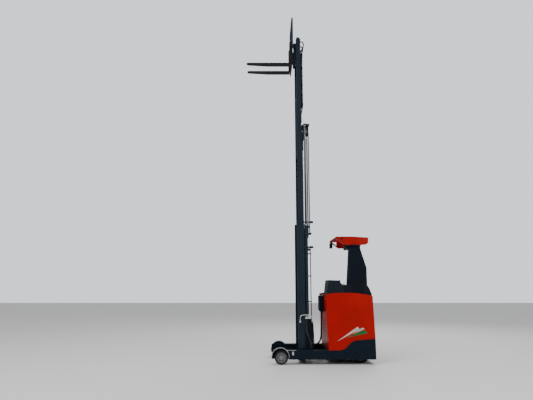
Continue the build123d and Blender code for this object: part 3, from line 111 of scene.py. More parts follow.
class Sketch:
    """Adds and links the nodes of one tree."""

    def __init__(self, tree):
        self.tree = tree

    def put(self, value, socket):
        """Links a socket to another one, or sets a plain value on it."""
        if isinstance(value, bpy.types.NodeSocket):
            self.tree.links.new(value, socket)
        else:
            socket.default_value = value

    def node(self, kind, inputs=None, **settings):
        made = self.tree.nodes.new(kind)
        for name, value in settings.items():
            setattr(made, name, value)
        for name, value in (inputs or {}).items():
            self.put(value, made.inputs[name])
        return made

    def group(self, tree, **inputs):
        """Outputs of a shader node group placed with its own values."""
        named = {label.replace("_", " "): value for label, value in inputs.items()}
        return self.node("ShaderNodeGroup", named, node_tree=tree).outputs

    def math(self, operation, a, b=0.5, c=0.0, clamp=False):
        return self.node("ShaderNodeMath", {0: a, 1: b, 2: c}, operation=operation,
                         use_clamp=clamp).outputs[0]

    def mix(self, factor, a, b):
        """Colour a where the factor is 0 and b where it is 1."""
        return self.node("ShaderNodeMix", {0: factor, 6: a, 7: b}, data_type="RGBA").outputs[2]

    def spread(self, value, low, high, to_low=0.0, to_high=1.0):
        """Maps a range of values to another one, clamped."""
        return self.node("ShaderNodeMapRange", {0: value, 1: low, 2: high, 3: to_low, 4: to_high},
                         clamp=True).outputs[0]

    def noise(self, vector, scale, detail=3.0, roughness=0.55):
        return self.node("ShaderNodeTexNoise", {"Vector": vector, "Scale": scale, "Detail": detail,
                                                "Roughness": roughness}).outputs["Fac"]

    def spot(self):
        """The point's place on the piece."""
        return self.node("ShaderNodeTexCoord").outputs["Object"]

    def xyz(self, vector):
        return self.node("ShaderNodeSeparateXYZ", {0: vector}).outputs


def new_group(name, kind, inputs, outputs):
    """An empty node group with named sockets, its sketch, and the sockets at its two ends."""
    tree = bpy.data.node_groups.new(name, kind)
    for label, socket, value in inputs:
        made = tree.interface.new_socket(label, in_out="INPUT", socket_type="NodeSocket" + socket)
        if value is not None:
            made.default_value = value
    for label, socket in outputs:
        tree.interface.new_socket(label, in_out="OUTPUT", socket_type="NodeSocket" + socket)
    given = tree.nodes.new("NodeGroupInput").outputs
    return tree, Sketch(tree), given, tree.nodes.new("NodeGroupOutput").inputs


def colour4(rgb, share=1.0):
    """A colour for a socket, made darker or lighter by a share."""
    return (*(min(1.0, c * share) for c in rgb), 1.0)


# Shared shader effects


def edge_wear_group():
    """Mask of the outer edges where paint rubs off first, broken up by noise."""
    tree, s, given, out = new_group(
        "Edge Wear", "ShaderNodeTree",
        [("Width", "Float", 0.003), ("Amount", "Float", 0.5)], [("Mask", "Float")])
    bevel = s.node("ShaderNodeBevel", {"Radius": given["Width"]}, samples=3)
    flat = s.node("ShaderNodeNewGeometry")
    turn = s.node("ShaderNodeVectorMath", {0: bevel.outputs["Normal"], 1: flat.outputs["Normal"]},
                  operation="DOT_PRODUCT")
    edge = s.spread(turn.outputs["Value"], 0.995, 0.80)
    chips = s.spread(s.noise(s.spot(), 38.0, 5.0, 0.7), 0.46, 0.60)
    s.put(s.math("MULTIPLY", s.math("MULTIPLY", edge, chips), given["Amount"], clamp=True), out["Mask"])
    return tree


def road_dust_group():
    """Pale dust that lies on level faces and gathers towards the floor."""
    tree, s, given, out = new_group(
        "Road Dust", "ShaderNodeTree",
        [("Color", "Color", (0.1, 0.1, 0.1, 1.0)), ("Dust Color", "Color", (0.30, 0.25, 0.19, 1.0)),
         ("Amount", "Float", 0.3), ("Reach", "Float", 0.6)],
        [("Color", "Color"), ("Mask", "Float")])
    spot = s.spot()
    low = s.math("SUBTRACT", 1.0, s.math("DIVIDE", s.xyz(spot)["Z"], given["Reach"]), clamp=True)
    facing = s.xyz(s.node("ShaderNodeNewGeometry").outputs["Normal"])["Z"]
    level = s.math("MULTIPLY", s.spread(facing, 0.6, 1.0), 0.45)
    patches = s.spread(s.noise(spot, 7.0, 6.0, 0.65), 0.32, 0.72, 0.25, 1.0)
    mask = s.math("MULTIPLY", s.math("ADD", low, level), patches)
    mask = s.math("MULTIPLY", mask, given["Amount"], clamp=True)
    s.put(s.mix(mask, given["Color"], given["Dust Color"]), out["Color"])
    s.put(mask, out["Mask"])
    return tree


def fine_grain_group():
    """Fine height grain and a slow change of shade, both on the piece's own place."""
    tree, s, given, out = new_group(
        "Fine Grain", "ShaderNodeTree",
        [("Scale", "Float", 300.0), ("Patch Scale", "Float", 3.0)],
        [("Height", "Float"), ("Shade", "Float")])
    spot = s.spot()
    s.put(s.noise(spot, given["Scale"], 2.0, 0.5), out["Height"])
    s.put(s.spread(s.noise(spot, given["Patch Scale"], 5.0, 0.6), 0.3, 0.7), out["Shade"])
    return tree


def rub_marks_group():
    """Thin scratches that run mostly up and down."""
    tree, s, given, out = new_group(
        "Rub Marks", "ShaderNodeTree",
        [("Scale", "Float", 30.0), ("Amount", "Float", 0.3)], [("Mask", "Float")])
    drawn = s.node("ShaderNodeMapping", {"Vector": s.spot(), "Scale": (1.0, 1.0, 0.06),
                                         "Rotation": (0.05, 0.12, 0.0)}).outputs["Vector"]
    lines = s.spread(s.noise(drawn, given["Scale"], 4.0, 0.8), 0.63, 0.70)
    s.put(s.math("MULTIPLY", lines, given["Amount"], clamp=True), out["Mask"])
    return tree


class Finishes:
    """Makes the truck's materials from the node groups that they share."""

    def __init__(self):
        self.wear = edge_wear_group()
        self.dust = road_dust_group()
        self.grain = fine_grain_group()
        self.rubs = rub_marks_group()

    def start(self, name, colour, tones, grain, patch, extra=None):
        """A new material, its sketch, its shader's inputs, its grain and its drifting shade."""
        material = bpy.data.materials.new(name)
        material.use_nodes = True
        s = Sketch(material.node_tree)
        grain = s.group(self.grain, Scale=grain, Patch_Scale=patch)
        base = s.mix(grain["Shade"], colour4(colour, tones[0]), colour4(colour, tones[1]))
        if extra:
            base = extra(s, base)
        return material, s, material.node_tree.nodes["Principled BSDF"].inputs, grain, base

    def close(self, s, shader, base, dust, reach, height, edge, strength, depth, **constants):
        """Lays dust on the colour, sets bump over softened edges, and returns the dust's mask."""
        dusty = s.group(self.dust, Color=base, Amount=dust, Reach=reach)
        s.put(dusty["Color"], shader["Base Color"])
        soft = s.node("ShaderNodeBevel", {"Radius": edge}, samples=3).outputs["Normal"]
        bump = s.node("ShaderNodeBump", {"Height": height, "Strength": strength, "Distance": depth,
                                         "Normal": soft})
        s.put(bump.outputs["Normal"], shader["Normal"])
        for label, value in constants.items():
            shader[label.replace("_", " ")].default_value = value
        return dusty["Mask"]

    def painted(self, name, colour, bare, roughness, coat, dust=0.3, wear=0.5, rubs=0.15,
                grain=260.0, shine=0.10, extra=None):
        """Enamel over steel: shade drift, chipped edges, scratches, dust and a slight orange peel."""
        material, s, shader, grain, base = self.start(name, colour, (0.86, 1.12), grain, 2.4, extra)
        chips = s.group(self.wear, Width=0.0035, Amount=wear)["Mask"]
        lines = s.group(self.rubs, Scale=34.0, Amount=rubs)["Mask"]
        base = s.mix(s.math("MAXIMUM", chips, lines), base, colour4(bare))
        mask = self.close(s, shader, base, dust, 0.55, grain["Height"], 0.0018, 0.10, 0.0006,
                          Coat_Weight=coat, Coat_Roughness=0.22, Specular_IOR_Level=shine)
        rough = s.spread(mask, 0.0, 1.0, roughness, 0.9)
        drift = s.math("MULTIPLY", grain["Shade"], 0.08)
        s.put(s.math("ADD", rough, drift, clamp=True), shader["Roughness"])
        return material

    def metal(self, name, colour, roughness, metallic=1.0, grain=180.0, dust=0.1, streaks=0.0,
              extra=None):
        """Bare or plated metal with brushed or cast grain."""
        material, s, shader, grain, base = self.start(name, colour, (0.78, 1.0), grain, 9.0, extra)
        if streaks:
            lines = s.group(self.rubs, Scale=60.0, Amount=streaks)["Mask"]
            base = s.mix(lines, base, colour4(colour, 0.45))
        self.close(s, shader, base, dust, 0.5, grain["Height"], 0.0012, 0.14, 0.0005,
                   Metallic=metallic)
        s.put(s.spread(grain["Shade"], 0.0, 1.0, roughness * 0.8, roughness * 1.25),
              shader["Roughness"])
        return material

    def moulded(self, name, colour, roughness, grain=520.0, depth=0.0005, dust=0.15, sheen=0.0):
        """Rubber, plastic or vinyl with a moulded grain."""
        scale = grain
        material, s, shader, grain, base = self.start(name, colour, (0.8, 1.2), scale, 5.0)
        cells = s.node("ShaderNodeTexVoronoi", {"Vector": s.spot(), "Scale": scale})
        height = s.math("ADD", cells.outputs["Distance"], grain["Height"])
        self.close(s, shader, base, dust, 0.5, height, 0.0015, 0.35, depth, Sheen_Weight=sheen,
                   Specular_IOR_Level=0.14)
        s.put(s.spread(grain["Shade"], 0.0, 1.0, roughness * 0.88, min(1.0, roughness * 1.1)),
              shader["Roughness"])
        return material


FINISH = {}


def lit_arch_lip(s, base):
    """A painted highlight: a pale grey band on the thin lip round each load wheel's arch, on its upper
    half, its strength varied by noise.
    """
    middle = at(0.015, 0.0, AXLE.z + 0.014)
    inner, outer, soft = 0.144, 0.154, 0.0005
    # the second colour is the pale grey of the painted highlight
    leg_face, plain_grey = (0.536, 0.542), (0.42, 0.43, 0.43, 1.0)
    spot = s.spot()
    x, y, z = s.xyz(spot)
    dx = s.math("SUBTRACT", x, middle.x)
    dz = s.math("SUBTRACT", z, middle.z)
    radius = s.math("SQRT", s.math("ADD", s.math("MULTIPLY", dx, dx), s.math("MULTIPLY", dz, dz)))
    ring = s.math("MULTIPLY", s.spread(radius, inner - soft, inner + soft),
                  s.spread(radius, outer - soft, outer + soft, 1.0, 0.0))
    side = s.spread(s.math("ABSOLUTE", y), *leg_face)
    above = s.spread(dz, -0.03, 0.02)
    patches = s.spread(s.noise(spot, 24.0, 4.0), 0.30, 0.45, 0.35, 1.0)
    mask = s.math("MULTIPLY", s.math("MULTIPLY", ring, side), s.math("MULTIPLY", above, patches))
    return s.mix(mask, base, plain_grey)


def pipe_light_and_shade(s, base):
    """The mast pipes: zinc bright on the bent pipe outside the carriage, which is plating and a painted
    highlight; near black on the pipe inside, oiled steel darkened as painted shade.
    """
    return s.mix(s.spread(s.xyz(s.spot())["Y"], 0.35, 0.36), (0.020, 0.021, 0.022, 1.0), base)


def make_finishes():
    """Fills FINISH. An enamel's second colour shows where it is worn; roughness and coat follow."""
    kit = Finishes()
    painted, metal, moulded = kit.painted, kit.metal, kit.moulded
    paint = bpy.context.scene.truck_paint
    # the first grey is the primer that shows where a band is worn
    plain_grey, steel, zinc = (0.20, 0.20, 0.20), (0.12, 0.12, 0.125), (0.62, 0.63, 0.61)
    FINISH.update(
        red_paint=painted("red enamel", paint.red, (0.10, 0.022, 0.014), 0.42, 0.06, dust=0.008,
                          wear=0.45, rubs=0.03),
        navy_paint=painted("navy chassis enamel", paint.navy, steel, 0.50, 0.0, dust=0.008,
                           wear=0.45, rubs=0.02),
        # the legs' navy, with a painted highlight on the lip of each wheel arch
        leg_paint=painted("navy leg enamel with painted highlight", paint.navy, steel, 0.50, 0.0, dust=0.014, wear=0.6,
                          rubs=0.04, extra=lit_arch_lip),
        # a darker copy of the navy: painted shade on the guard pillar and the reach carriage
        deep_paint=painted("shaded navy enamel", paint.deep, steel, 0.52, 0.0, dust=0.006, wear=0.45,
                           rubs=0.02),
        mast_paint=painted("mast enamel", paint.mast, steel, 0.44, 0.03, dust=0.02, wear=0.5,
                           rubs=0.06, shine=0.20),
        fork_steel=painted("fork lacquer", (0.006, 0.0065, 0.008), (0.20, 0.20, 0.19), 0.46, 0.03,
                           dust=0.04, wear=0.8, rubs=0.30),
        machined_steel=metal("machined steel", (0.26, 0.26, 0.27), 0.36, streaks=0.25),
        chrome_rod=metal("hard chrome", (0.060, 0.063, 0.068), 0.18, grain=400.0, dust=0.01),
        zinc=metal("zinc plated steel", zinc, 0.34, streaks=0.15),
        # bright zinc outside the carriage is plating and a painted highlight; near black inside is painted
        # shade
        pipe_steel=metal("pipe steel with painted light and shade", zinc, 0.34, metallic=0.9, extra=pipe_light_and_shade),
        chain_steel=metal("oiled chain steel", (0.075, 0.072, 0.070), 0.42, metallic=0.85),
        cast_iron=metal("cast iron", (0.045, 0.045, 0.048), 0.62, metallic=0.6, grain=120.0,
                        dust=0.15),
        wheel_grey=painted("wheel grey enamel", (0.088, 0.100, 0.110), (0.05, 0.05, 0.05), 0.50,
                           0.0, dust=0.10, wear=0.5, rubs=0.1, grain=90.0),
        tyre=moulded("polyurethane tyre", (0.0045, 0.0048, 0.0055), 0.66, grain=300.0, dust=0.06),
        rubber=moulded("hose rubber", (0.0045, 0.0045, 0.005), 0.55, grain=700.0, dust=0.03),
        dark_plastic=moulded("navy moulded plastic", (0.0014, 0.0030, 0.0066), 0.55, dust=0.006),
        hood_plastic=moulded("slate moulded plastic", (0.0038, 0.0088, 0.0132), 0.52, dust=0.006),
        pad_vinyl=moulded("black vinyl", (0.006, 0.006, 0.007), 0.52, grain=420.0, depth=0.0007,
                          dust=0.03, sheen=0.08),
        lamp_body=moulded("lamp housing", (0.005, 0.005, 0.006), 0.46, dust=0.05),
        screen=moulded("dark bezel", (0.004, 0.0045, 0.005), 0.34, dust=0.02),
        pale_band=painted("pale band", (0.46, 0.43, 0.40), plain_grey, 0.45, 0.05, dust=0.04, wear=0.1,
                          rubs=0.10),
        green_band=painted("green band", (0.006, 0.115, 0.030), plain_grey, 0.42, 0.05, dust=0.03,
                           wear=0.1, rubs=0.05),
        stop_red=moulded("red button", (0.40, 0.010, 0.006), 0.38, dust=0.03),
        stop_ring=moulded("yellow button ring", (0.55, 0.36, 0.02), 0.45, dust=0.03),
        lens=moulded("lamp lens", (0.42, 0.44, 0.46), 0.16, grain=90.0, depth=0.0012, dust=0.04),
        glass=moulded("screen glass", (0.012, 0.022, 0.028), 0.10, grain=900.0, depth=0.0001,
                      dust=0.02),
    )


# Shape helpers


class Shape:
    """A mesh in the making."""

    def __init__(self):
        self.bm = bmesh.new()

    def bevelled(self, verts, width, sharp=0.5):
        """Rounds the edges that turn by more than an angle, in the order that they were made."""
        if width > 0:
            edges = dict.fromkeys(e for v in verts for e in v.link_edges
                                  if e.calc_face_angle(0.0) > sharp)
            bmesh.ops.bevel(self.bm, geom=list(edges), offset=width, segments=2, profile=0.6,
                            affect="EDGES", clamp_overlap=True)

    def box(self, low, high, bevel=0.0, turned=Matrix()):
        """A box between two corners, which may be given in a turned frame."""
        centre = (Vector(low) + Vector(high)) / 2
        size = [abs(b - a) for a, b in zip(low, high)]
        matrix = turned @ Matrix.Translation(centre) @ Matrix.Diagonal((*size, 1.0))
        self.bevelled(bmesh.ops.create_cube(self.bm, size=1.0, matrix=matrix)["verts"], bevel)

    def tube(self, points, radius, sides=12, closed=False):
        """A round tube through a list of points, turned evenly at each."""
        count = len(points)
        rings = []
        side = None
        for i, point in enumerate(points):
            before = points[i - 1] if closed or i > 0 else point
            after = points[(i + 1) % count] if closed or i < count - 1 else point
            along = (after - before).normalized()
            if side is None:
                side = along.orthogonal().normalized()
            side = (side - along * side.dot(along)).normalized()
            across = along.cross(side)
            rings.append([self.bm.verts.new(point + (side * math.cos(a) + across * math.sin(a)) * radius)
                          for a in turns(sides)])
        pairs = list(zip(rings, rings[1:])) + ([(rings[-1], rings[0])] if closed else [])
        for low, high in pairs:
            for k in range(sides):
                j = (k + 1) % sides
                self.bm.faces.new((low[k], low[j], high[j], high[k]))
        if not closed:
            self.bm.faces.new(rings[0][::-1])
            self.bm.faces.new(rings[-1])

    def rod(self, centre, axis, radius, depth, sides=24, bevel=0.0, top=None):
        """A cylinder or cone with its middle at centre."""
        turn = Vector(axis).to_track_quat("Z", "Y").to_matrix().to_4x4()
        made = bmesh.ops.create_cone(self.bm, cap_ends=True, segments=sides, radius1=radius,
                                     radius2=radius if top is None else top, depth=depth,
                                     matrix=Matrix.Translation(Vector(centre)) @ turn)
        self.bevelled(made["verts"], bevel)

    def plate(self, outline, y0, y1, bevel=0.0):
        """A flat outline of (x, z) points made solid from y0 to y1."""
        low = [self.bm.verts.new((x, y0, z)) for x, z in outline]
        high = [self.bm.verts.new((x, y1, z)) for x, z in outline]
        faces = [self.bm.faces.new(low), self.bm.faces.new(high[::-1])]
        for i in range(len(outline)):
            j = (i + 1) % len(outline)
            faces.append(self.bm.faces.new((low[j], low[i], high[i], high[j])))
        bmesh.ops.recalc_face_normals(self.bm, faces=faces)
        self.bevelled(low + high, bevel)

    def add(self, parts, both=False):
        """Adds parts given in millimetres, as they are or on both sides of the truck.

        A part is ("box", corner, corner, bevel) or
        ("rod", middle, axis, radius, depth, sides, bevel, radius at the far end).
        """
        for side in (1, -1) if both else (1,):
            for kind, (x, y, z), (x2, y2, z2), *sizes in parts:
                first = mm(x, side * y, z)
                if kind == "box":
                    self.box(first, mm(x2, side * y2, z2), sizes[0] / 1000)
                else:
                    # the bevel and the far end may be left out
                    radius, depth, count, bevel, top = sizes + [0, None][len(sizes) - 3:]
                    self.rod(first, (x2, side * y2, z2), radius / 1000, depth / 1000, count,
                             bevel / 1000, None if top is None else top / 1000)

    def mesh(self, name):
        made = bpy.data.meshes.new(name)
        self.bm.to_mesh(made)
        self.bm.free()
        made.shade_smooth()
        made.set_sharp_from_angle(angle=math.radians(32))
        return made


def linked(name, data):
    item = bpy.data.objects.new(name, data)
    bpy.context.scene.collection.objects.link(item)
    return item


def place(name, mesh, finish, body):
    """Links a finished mesh as a piece; a piece without a body is left without a parent."""
    piece = linked(name, mesh)
    if finish:
        mesh.materials.clear()
        mesh.materials.append(FINISH[finish])
    if body:
        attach(piece, body)
    return piece


def place_rows(rows):
    """Makes pieces of small parts: (name, finish, body, slot, on both sides, parts); the slot is not used.
    """
    for name, finish, body, slot, both, parts in rows:
        shape = Shape()
        shape.add(parts, both)
        place(name, shape.mesh(name), finish, body)


# Geometry node trees


def close_tree(s, geometry, given, out):
    """The common end of a tree: real geometry with its material."""
    real = s.node("GeometryNodeRealizeInstances", {"Geometry": geometry})
    done = s.node("GeometryNodeSetMaterial", {"Geometry": real.outputs["Geometry"],
                                              "Material": given["Material"]})
    s.put(done.outputs["Geometry"], out["Geometry"])


def row_tree():
    """Two kinds of piece set in turn along a path at an even pitch."""
    tree, s, given, out = new_group(
        "Row Along Path", "GeometryNodeTree",
        [("Geometry", "Geometry", None), ("Odd Piece", "Object", None), ("Even Piece", "Object", None),
         ("Pitch", "Float", 0.0127), ("Material", "Material", None)],
        [("Geometry", "Geometry")])
    curve = s.node("GeometryNodeMeshToCurve", {"Mesh": given["Geometry"]})
    even = s.node("GeometryNodeResampleCurve", {"Curve": curve.outputs["Curve"],
                                                "Length": given["Pitch"]}, mode="LENGTH")
    along = s.node("GeometryNodeInputTangent").outputs["Tangent"]
    turn = s.node("FunctionNodeAlignRotationToVector", {"Vector": along}, axis="Z", pivot_axis="Y")
    odd = s.math("MODULO", s.node("GeometryNodeInputIndex").outputs["Index"], 2.0)
    joined = s.node("GeometryNodeJoinGeometry")
    for label, chosen in (("Odd Piece", odd), ("Even Piece", s.math("SUBTRACT", 1.0, odd))):
        info = s.node("GeometryNodeObjectInfo", {"Object": given[label], "As Instance": True})
        put = s.node("GeometryNodeInstanceOnPoints", {
            "Points": even.outputs["Curve"], "Selection": chosen, "Instance": info.outputs["Geometry"],
            "Rotation": turn.outputs["Rotation"]})
        s.put(put.outputs["Instances"], joined.inputs["Geometry"])
    close_tree(s, joined.outputs["Geometry"], given, out)
    return tree


def spots_tree():
    """One kind of piece set on every point, turned to face out and sized by the point."""
    tree, s, given, out = new_group(
        "Pieces On Spots", "GeometryNodeTree",
        [("Geometry", "Geometry", None), ("Piece", "Object", None), ("Scale", "Float", 1.0),
         ("Material", "Material", None)],
        [("Geometry", "Geometry")])
    facing = s.node("GeometryNodeInputNamedAttribute", {"Name": "facing"}, data_type="FLOAT_VECTOR")
    size = s.node("GeometryNodeInputNamedAttribute", {"Name": "size"}, data_type="FLOAT")
    turn = s.node("FunctionNodeAlignRotationToVector", {"Vector": facing.outputs["Attribute"]},
                  axis="Z")
    info = s.node("GeometryNodeObjectInfo", {"Object": given["Piece"], "As Instance": True})
    put = s.node("GeometryNodeInstanceOnPoints", {
        "Points": given["Geometry"], "Instance": info.outputs["Geometry"],
        "Rotation": turn.outputs["Rotation"],
        "Scale": s.math("MULTIPLY", size.outputs["Attribute"], given["Scale"])})
    close_tree(s, put.outputs["Instances"], given, out)
    return tree


TREES = {}


def kept_mesh(item):
    """What an object's modifiers make of it, as a plain mesh."""
    graph = bpy.context.evaluated_depsgraph_get()
    return bpy.data.meshes.new_from_object(item.evaluated_get(graph))


def grow(name, source, tree, values, body):
    """Runs a geometry node tree on a source mesh and keeps the result as a plain piece."""
    holder = linked(name + "_source", source)
    modifier = holder.modifiers.new("Grow", "NODES")
    modifier.node_group = TREES[tree]
    named = {item.name: item.identifier for item in TREES[tree].interface.items_tree
             if item.in_out == "INPUT"}
    for label, value in values.items():
        modifier[named[label]] = value
    mesh = kept_mesh(holder)
    bpy.data.objects.remove(holder)
    mesh.name = name
    return place(name, mesh, None, body)


def path_mesh(name, paths):
    """Open polylines as a mesh of edges."""
    points, edges = [], []
    for path in paths:
        start = len(points)
        points += [tuple(p) for p in path]
        edges += [(i, i + 1) for i in range(start, len(points) - 1)]
    made = bpy.data.meshes.new(name)
    made.from_pydata(points, edges, [])
    return made


def spot_mesh(name, spots):
    """Points with the way each faces and its size: (point, facing, size)."""
    made = bpy.data.meshes.new(name)
    made.from_pydata([tuple(p) for p, _, _ in spots], [], [])
    facing = made.attributes.new("facing", "FLOAT_VECTOR", "POINT")
    facing.data.foreach_set("vector", [c for _, f, _ in spots for c in f])
    size = made.attributes.new("size", "FLOAT", "POINT")
    size.data.foreach_set("value", [s for _, _, s in spots])
    return made


def helper(name, shape):
    """A small mesh that a tree repeats; it is removed at the end."""
    made = linked(name, shape.mesh(name))
    made["helper"] = True
    return made


def drop_helpers():
    for item in [o for o in bpy.data.objects if "helper" in o]:
        bpy.data.objects.remove(item)


def routed(points, diameter, name):
    """A smooth line through a route's points: its own points, and a round tube on it."""
    curve = bpy.data.curves.new(name, "CURVE")
    curve.dimensions = "3D"
    spline = curve.splines.new("NURBS")
    spline.points.add(len(points) - 1)
    for spot, point in zip(spline.points, points):
        spot.co = (*point, 1.0)
    spline.order_u = 3
    spline.use_endpoint_u = True
    curve.resolution_u = 12
    holder = linked(name, curve)
    path = [v.co.copy() for v in kept_mesh(holder).vertices]
    curve.bevel_depth = diameter / 2
    curve.bevel_resolution = 6
    curve.use_fill_caps = True
    bpy.context.view_layer.update()
    tube = kept_mesh(holder)
    tube.shade_smooth()
    bpy.data.objects.remove(holder)
    return path, tube


def on_path(path, distance):
    """The point at a distance along a polyline, and the way it runs there."""
    left = distance
    for a, b in zip(path, path[1:]):
        run = (b - a).length
        if left <= run and run > 0:
            return a.lerp(b, left / run), (b - a).normalized()
        left -= run
    return path[-1], (path[-1] - path[-2]).normalized()


# Properties


class TruckPaint(bpy.types.PropertyGroup):
    red: FloatVectorProperty(name="Panel red", description="Side panels and overhead guard", size=3,
                             subtype="COLOR", min=0.0, max=1.0, default=(0.30, 0.0016, 0.0004))
    navy: FloatVectorProperty(name="Chassis navy", description="Chassis, skirt and legs", size=3,
                              subtype="COLOR", min=0.0, max=1.0, default=(0.0016, 0.0068, 0.0135))
    # a darker copy of the chassis navy, painted shade on the guard pillar and the reach carriage
    deep: FloatVectorProperty(name="Shaded navy", description="Guard pillar and reach carriage", size=3,
                              subtype="COLOR", min=0.0, max=1.0, default=(0.0012, 0.0034, 0.0085))
    mast: FloatVectorProperty(name="Mast slate", description="Mast uprights", size=3,
                              subtype="COLOR", min=0.0, max=1.0, default=(0.0032, 0.0100, 0.0185))


class TruckChains(bpy.types.PropertyGroup):
    pitch: FloatProperty(name="Link pitch", description="Distance from pin to pin", unit="LENGTH",
                         default=0.0159, min=0.006)
    plate: FloatProperty(name="Plate thickness", description="Thickness of one link plate",
                         unit="LENGTH", default=0.0028, min=0.001)
    hose: FloatProperty(name="Mast hose diameter", description="Hoses beside the lift chains",
                        unit="LENGTH", default=0.014, min=0.004)


class TruckHoses(bpy.types.PropertyGroup):
    diameter: FloatProperty(name="Reach hose diameter", description="Hose loom to the reach carriage",
                            unit="LENGTH", default=0.030, min=0.01)


class TruckTrim(bpy.types.PropertyGroup):
    bolt: FloatProperty(name="Bolt head", description="Width of a bolt head at size 1", unit="LENGTH",
                        default=0.016, min=0.004)
    tread: FloatProperty(name="Tread height", description="Ribs of the floor mat and the pedals",
                         unit="LENGTH", default=0.0024, min=0.0005)
    voxel: FloatProperty(name="Pad mesh size", description="Grid that a pad is blown up on",
                         unit="LENGTH", default=0.006, min=0.003)
    swell: FloatProperty(name="Pad swell", description="How far a pad's skin may move", unit="LENGTH",
                         default=0.009, min=0.001)


class TruckStage(bpy.types.PropertyGroup):
    lens: FloatProperty(name="Lens", description="Camera's focal length", subtype="DISTANCE_CAMERA",
                        default=32.42, min=10.0)
    pitch: FloatProperty(name="Camera pitch", description="How far the camera looks up",
                         subtype="ANGLE", default=math.radians(10.16))
    height: FloatProperty(name="Camera height", description="Above the floor", unit="LENGTH",
                          default=1.322)
    distance: FloatProperty(name="Camera distance", description="From the truck's middle plane",
                            unit="LENGTH", default=9.08)
    along: FloatProperty(name="Camera along the truck", description="Ahead of the axle line",
                         unit="LENGTH", default=0.254)


# Operators


class TRUCK_OT_finishes(bpy.types.Operator):
    """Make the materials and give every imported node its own"""

    bl_idname = "truck.finishes"
    bl_label = "Paint the packed nodes"
    bl_options = {"REGISTER", "UNDO"}

    # Nodes that don't take the finish named like their slot
    special = {"straddle_leg_left": "leg_paint", "straddle_leg_right": "leg_paint",
               # the guard pillar and the reach carriage take the darker navy as painted shade
               "mast_pipes": "pipe_steel", "guard_pillar": "deep_paint", "mast_carriage": "deep_paint"}

    def execute(self, context):
        make_finishes()
        TREES.update(row=row_tree(), spots=spots_tree())
        for row in frame["record"]["subparts"]:
            materials = NODES[row["node"]].data.materials
            materials.clear()
            materials.append(FINISH[self.special.get(row["node"], row["material_slot"])])
        return {"FINISHED"}


class TRUCK_OT_reach_hose(bpy.types.Operator):
    """Hose loom from the hose box down to the reach carriage"""

    bl_idname = "truck.reach_hose"
    bl_label = "Reach hose"
    bl_options = {"REGISTER", "UNDO"}

    # From the box down to the carriage's wall, in millimetres
    route = ((-752, 140, 871.7), (-752, 140, 838), (-748, 142, 790), (-740, 146, 728), (-735, 150, 600),
             (-733, 148, 495), (-727, 144, 417), (-706, 142, 350), (-668, 140, 305), (-622, 140, 285),
             (-563.3, 140, 285))
    band_places, band_wall, band_length = (0.06, 0.34, 0.62, 0.93), 0.0022, 0.012

    def execute(self, context):
        diameter = context.scene.truck_hoses.diameter
        points = [mm(*point) for point in self.route]
        path, tube = routed(points, diameter, "reach_hose_line")
        hose = place("reach_hose_loom", tube, "rubber", None)
        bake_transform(hose)
        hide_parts("reach_hose")
        length = sum((b - a).length for a, b in zip(path, path[1:]))
        bands = Shape()
        for share in self.band_places:
            spot, along = on_path(path, share * length)
            bands.rod(spot, along, diameter / 2 + self.band_wall, self.band_length, sides=28,
                      bevel=0.0008)
        ties = place("reach_hose_bands", bands.mesh("reach_hose_bands"), "screen", None)
        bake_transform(ties)
        return {"FINISHED"}


def link_piece(offsets, pitch, plate, depth, name):
    """Link plates of a leaf chain side by side, with the pin where they start."""
    pin, pin_head, corners = 0.24, 0.0006, 6
    shape = Shape()
    outline = []
    for end, start in ((pitch, 0.0), (0.0, math.pi)):
        for step in range(corners + 1):
            angle = start + math.pi * step / corners
            outline.append((depth / 2 * math.cos(angle), end + depth / 2 * math.sin(angle)))
    for y in offsets:
        shape.plate(outline, y - plate / 2, y + plate / 2)
    width = max(offsets) - min(offsets) + plate
    shape.rod((0.0, 0.0, 0.0), OUT, depth * pin, width + 2 * pin_head, sides=10)
    return helper(name, shape)


def chain_links(chains, width, depth, name):
    """The two link kinds that take turns along a leaf chain."""
    step = (width - chains.plate) / 4
    outer = link_piece((-2 * step, 0.0, 2 * step), chains.pitch, chains.plate, depth,
                       name + "_outer_link")
    inner = link_piece((-step, step), chains.pitch, chains.plate, depth, name + "_inner_link")
    return {"Odd Piece": outer, "Even Piece": inner, "Pitch": chains.pitch,
            "Material": FINISH["chain_steel"]}


def strand_boxes(node):
    """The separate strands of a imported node, as (low, high) corners, from left to right."""
    # points nearer than this in Y belong to one side of a strand
    gap, slack = 0.0045, 0.001
    points = sorted((v.co.copy() for v in NODES[node].data.vertices), key=lambda p: p.y)
    groups = []
    for point in points:
        if groups and point.y - groups[-1][-1].y < gap:
            groups[-1].append(point)
        else:
            groups.append([point])
    edges = [sum(p.y for p in group) / len(group) for group in groups]
    low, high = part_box(node)
    boxes = []
    for y0, y1 in zip(edges[::2], edges[1::2]):
        own = [p.x for p in points if y0 - slack <= p.y <= y1 + slack]
        boxes.append((Vector((min(own), y0, low.z)), Vector((max(own), y1, high.z))))
    return boxes


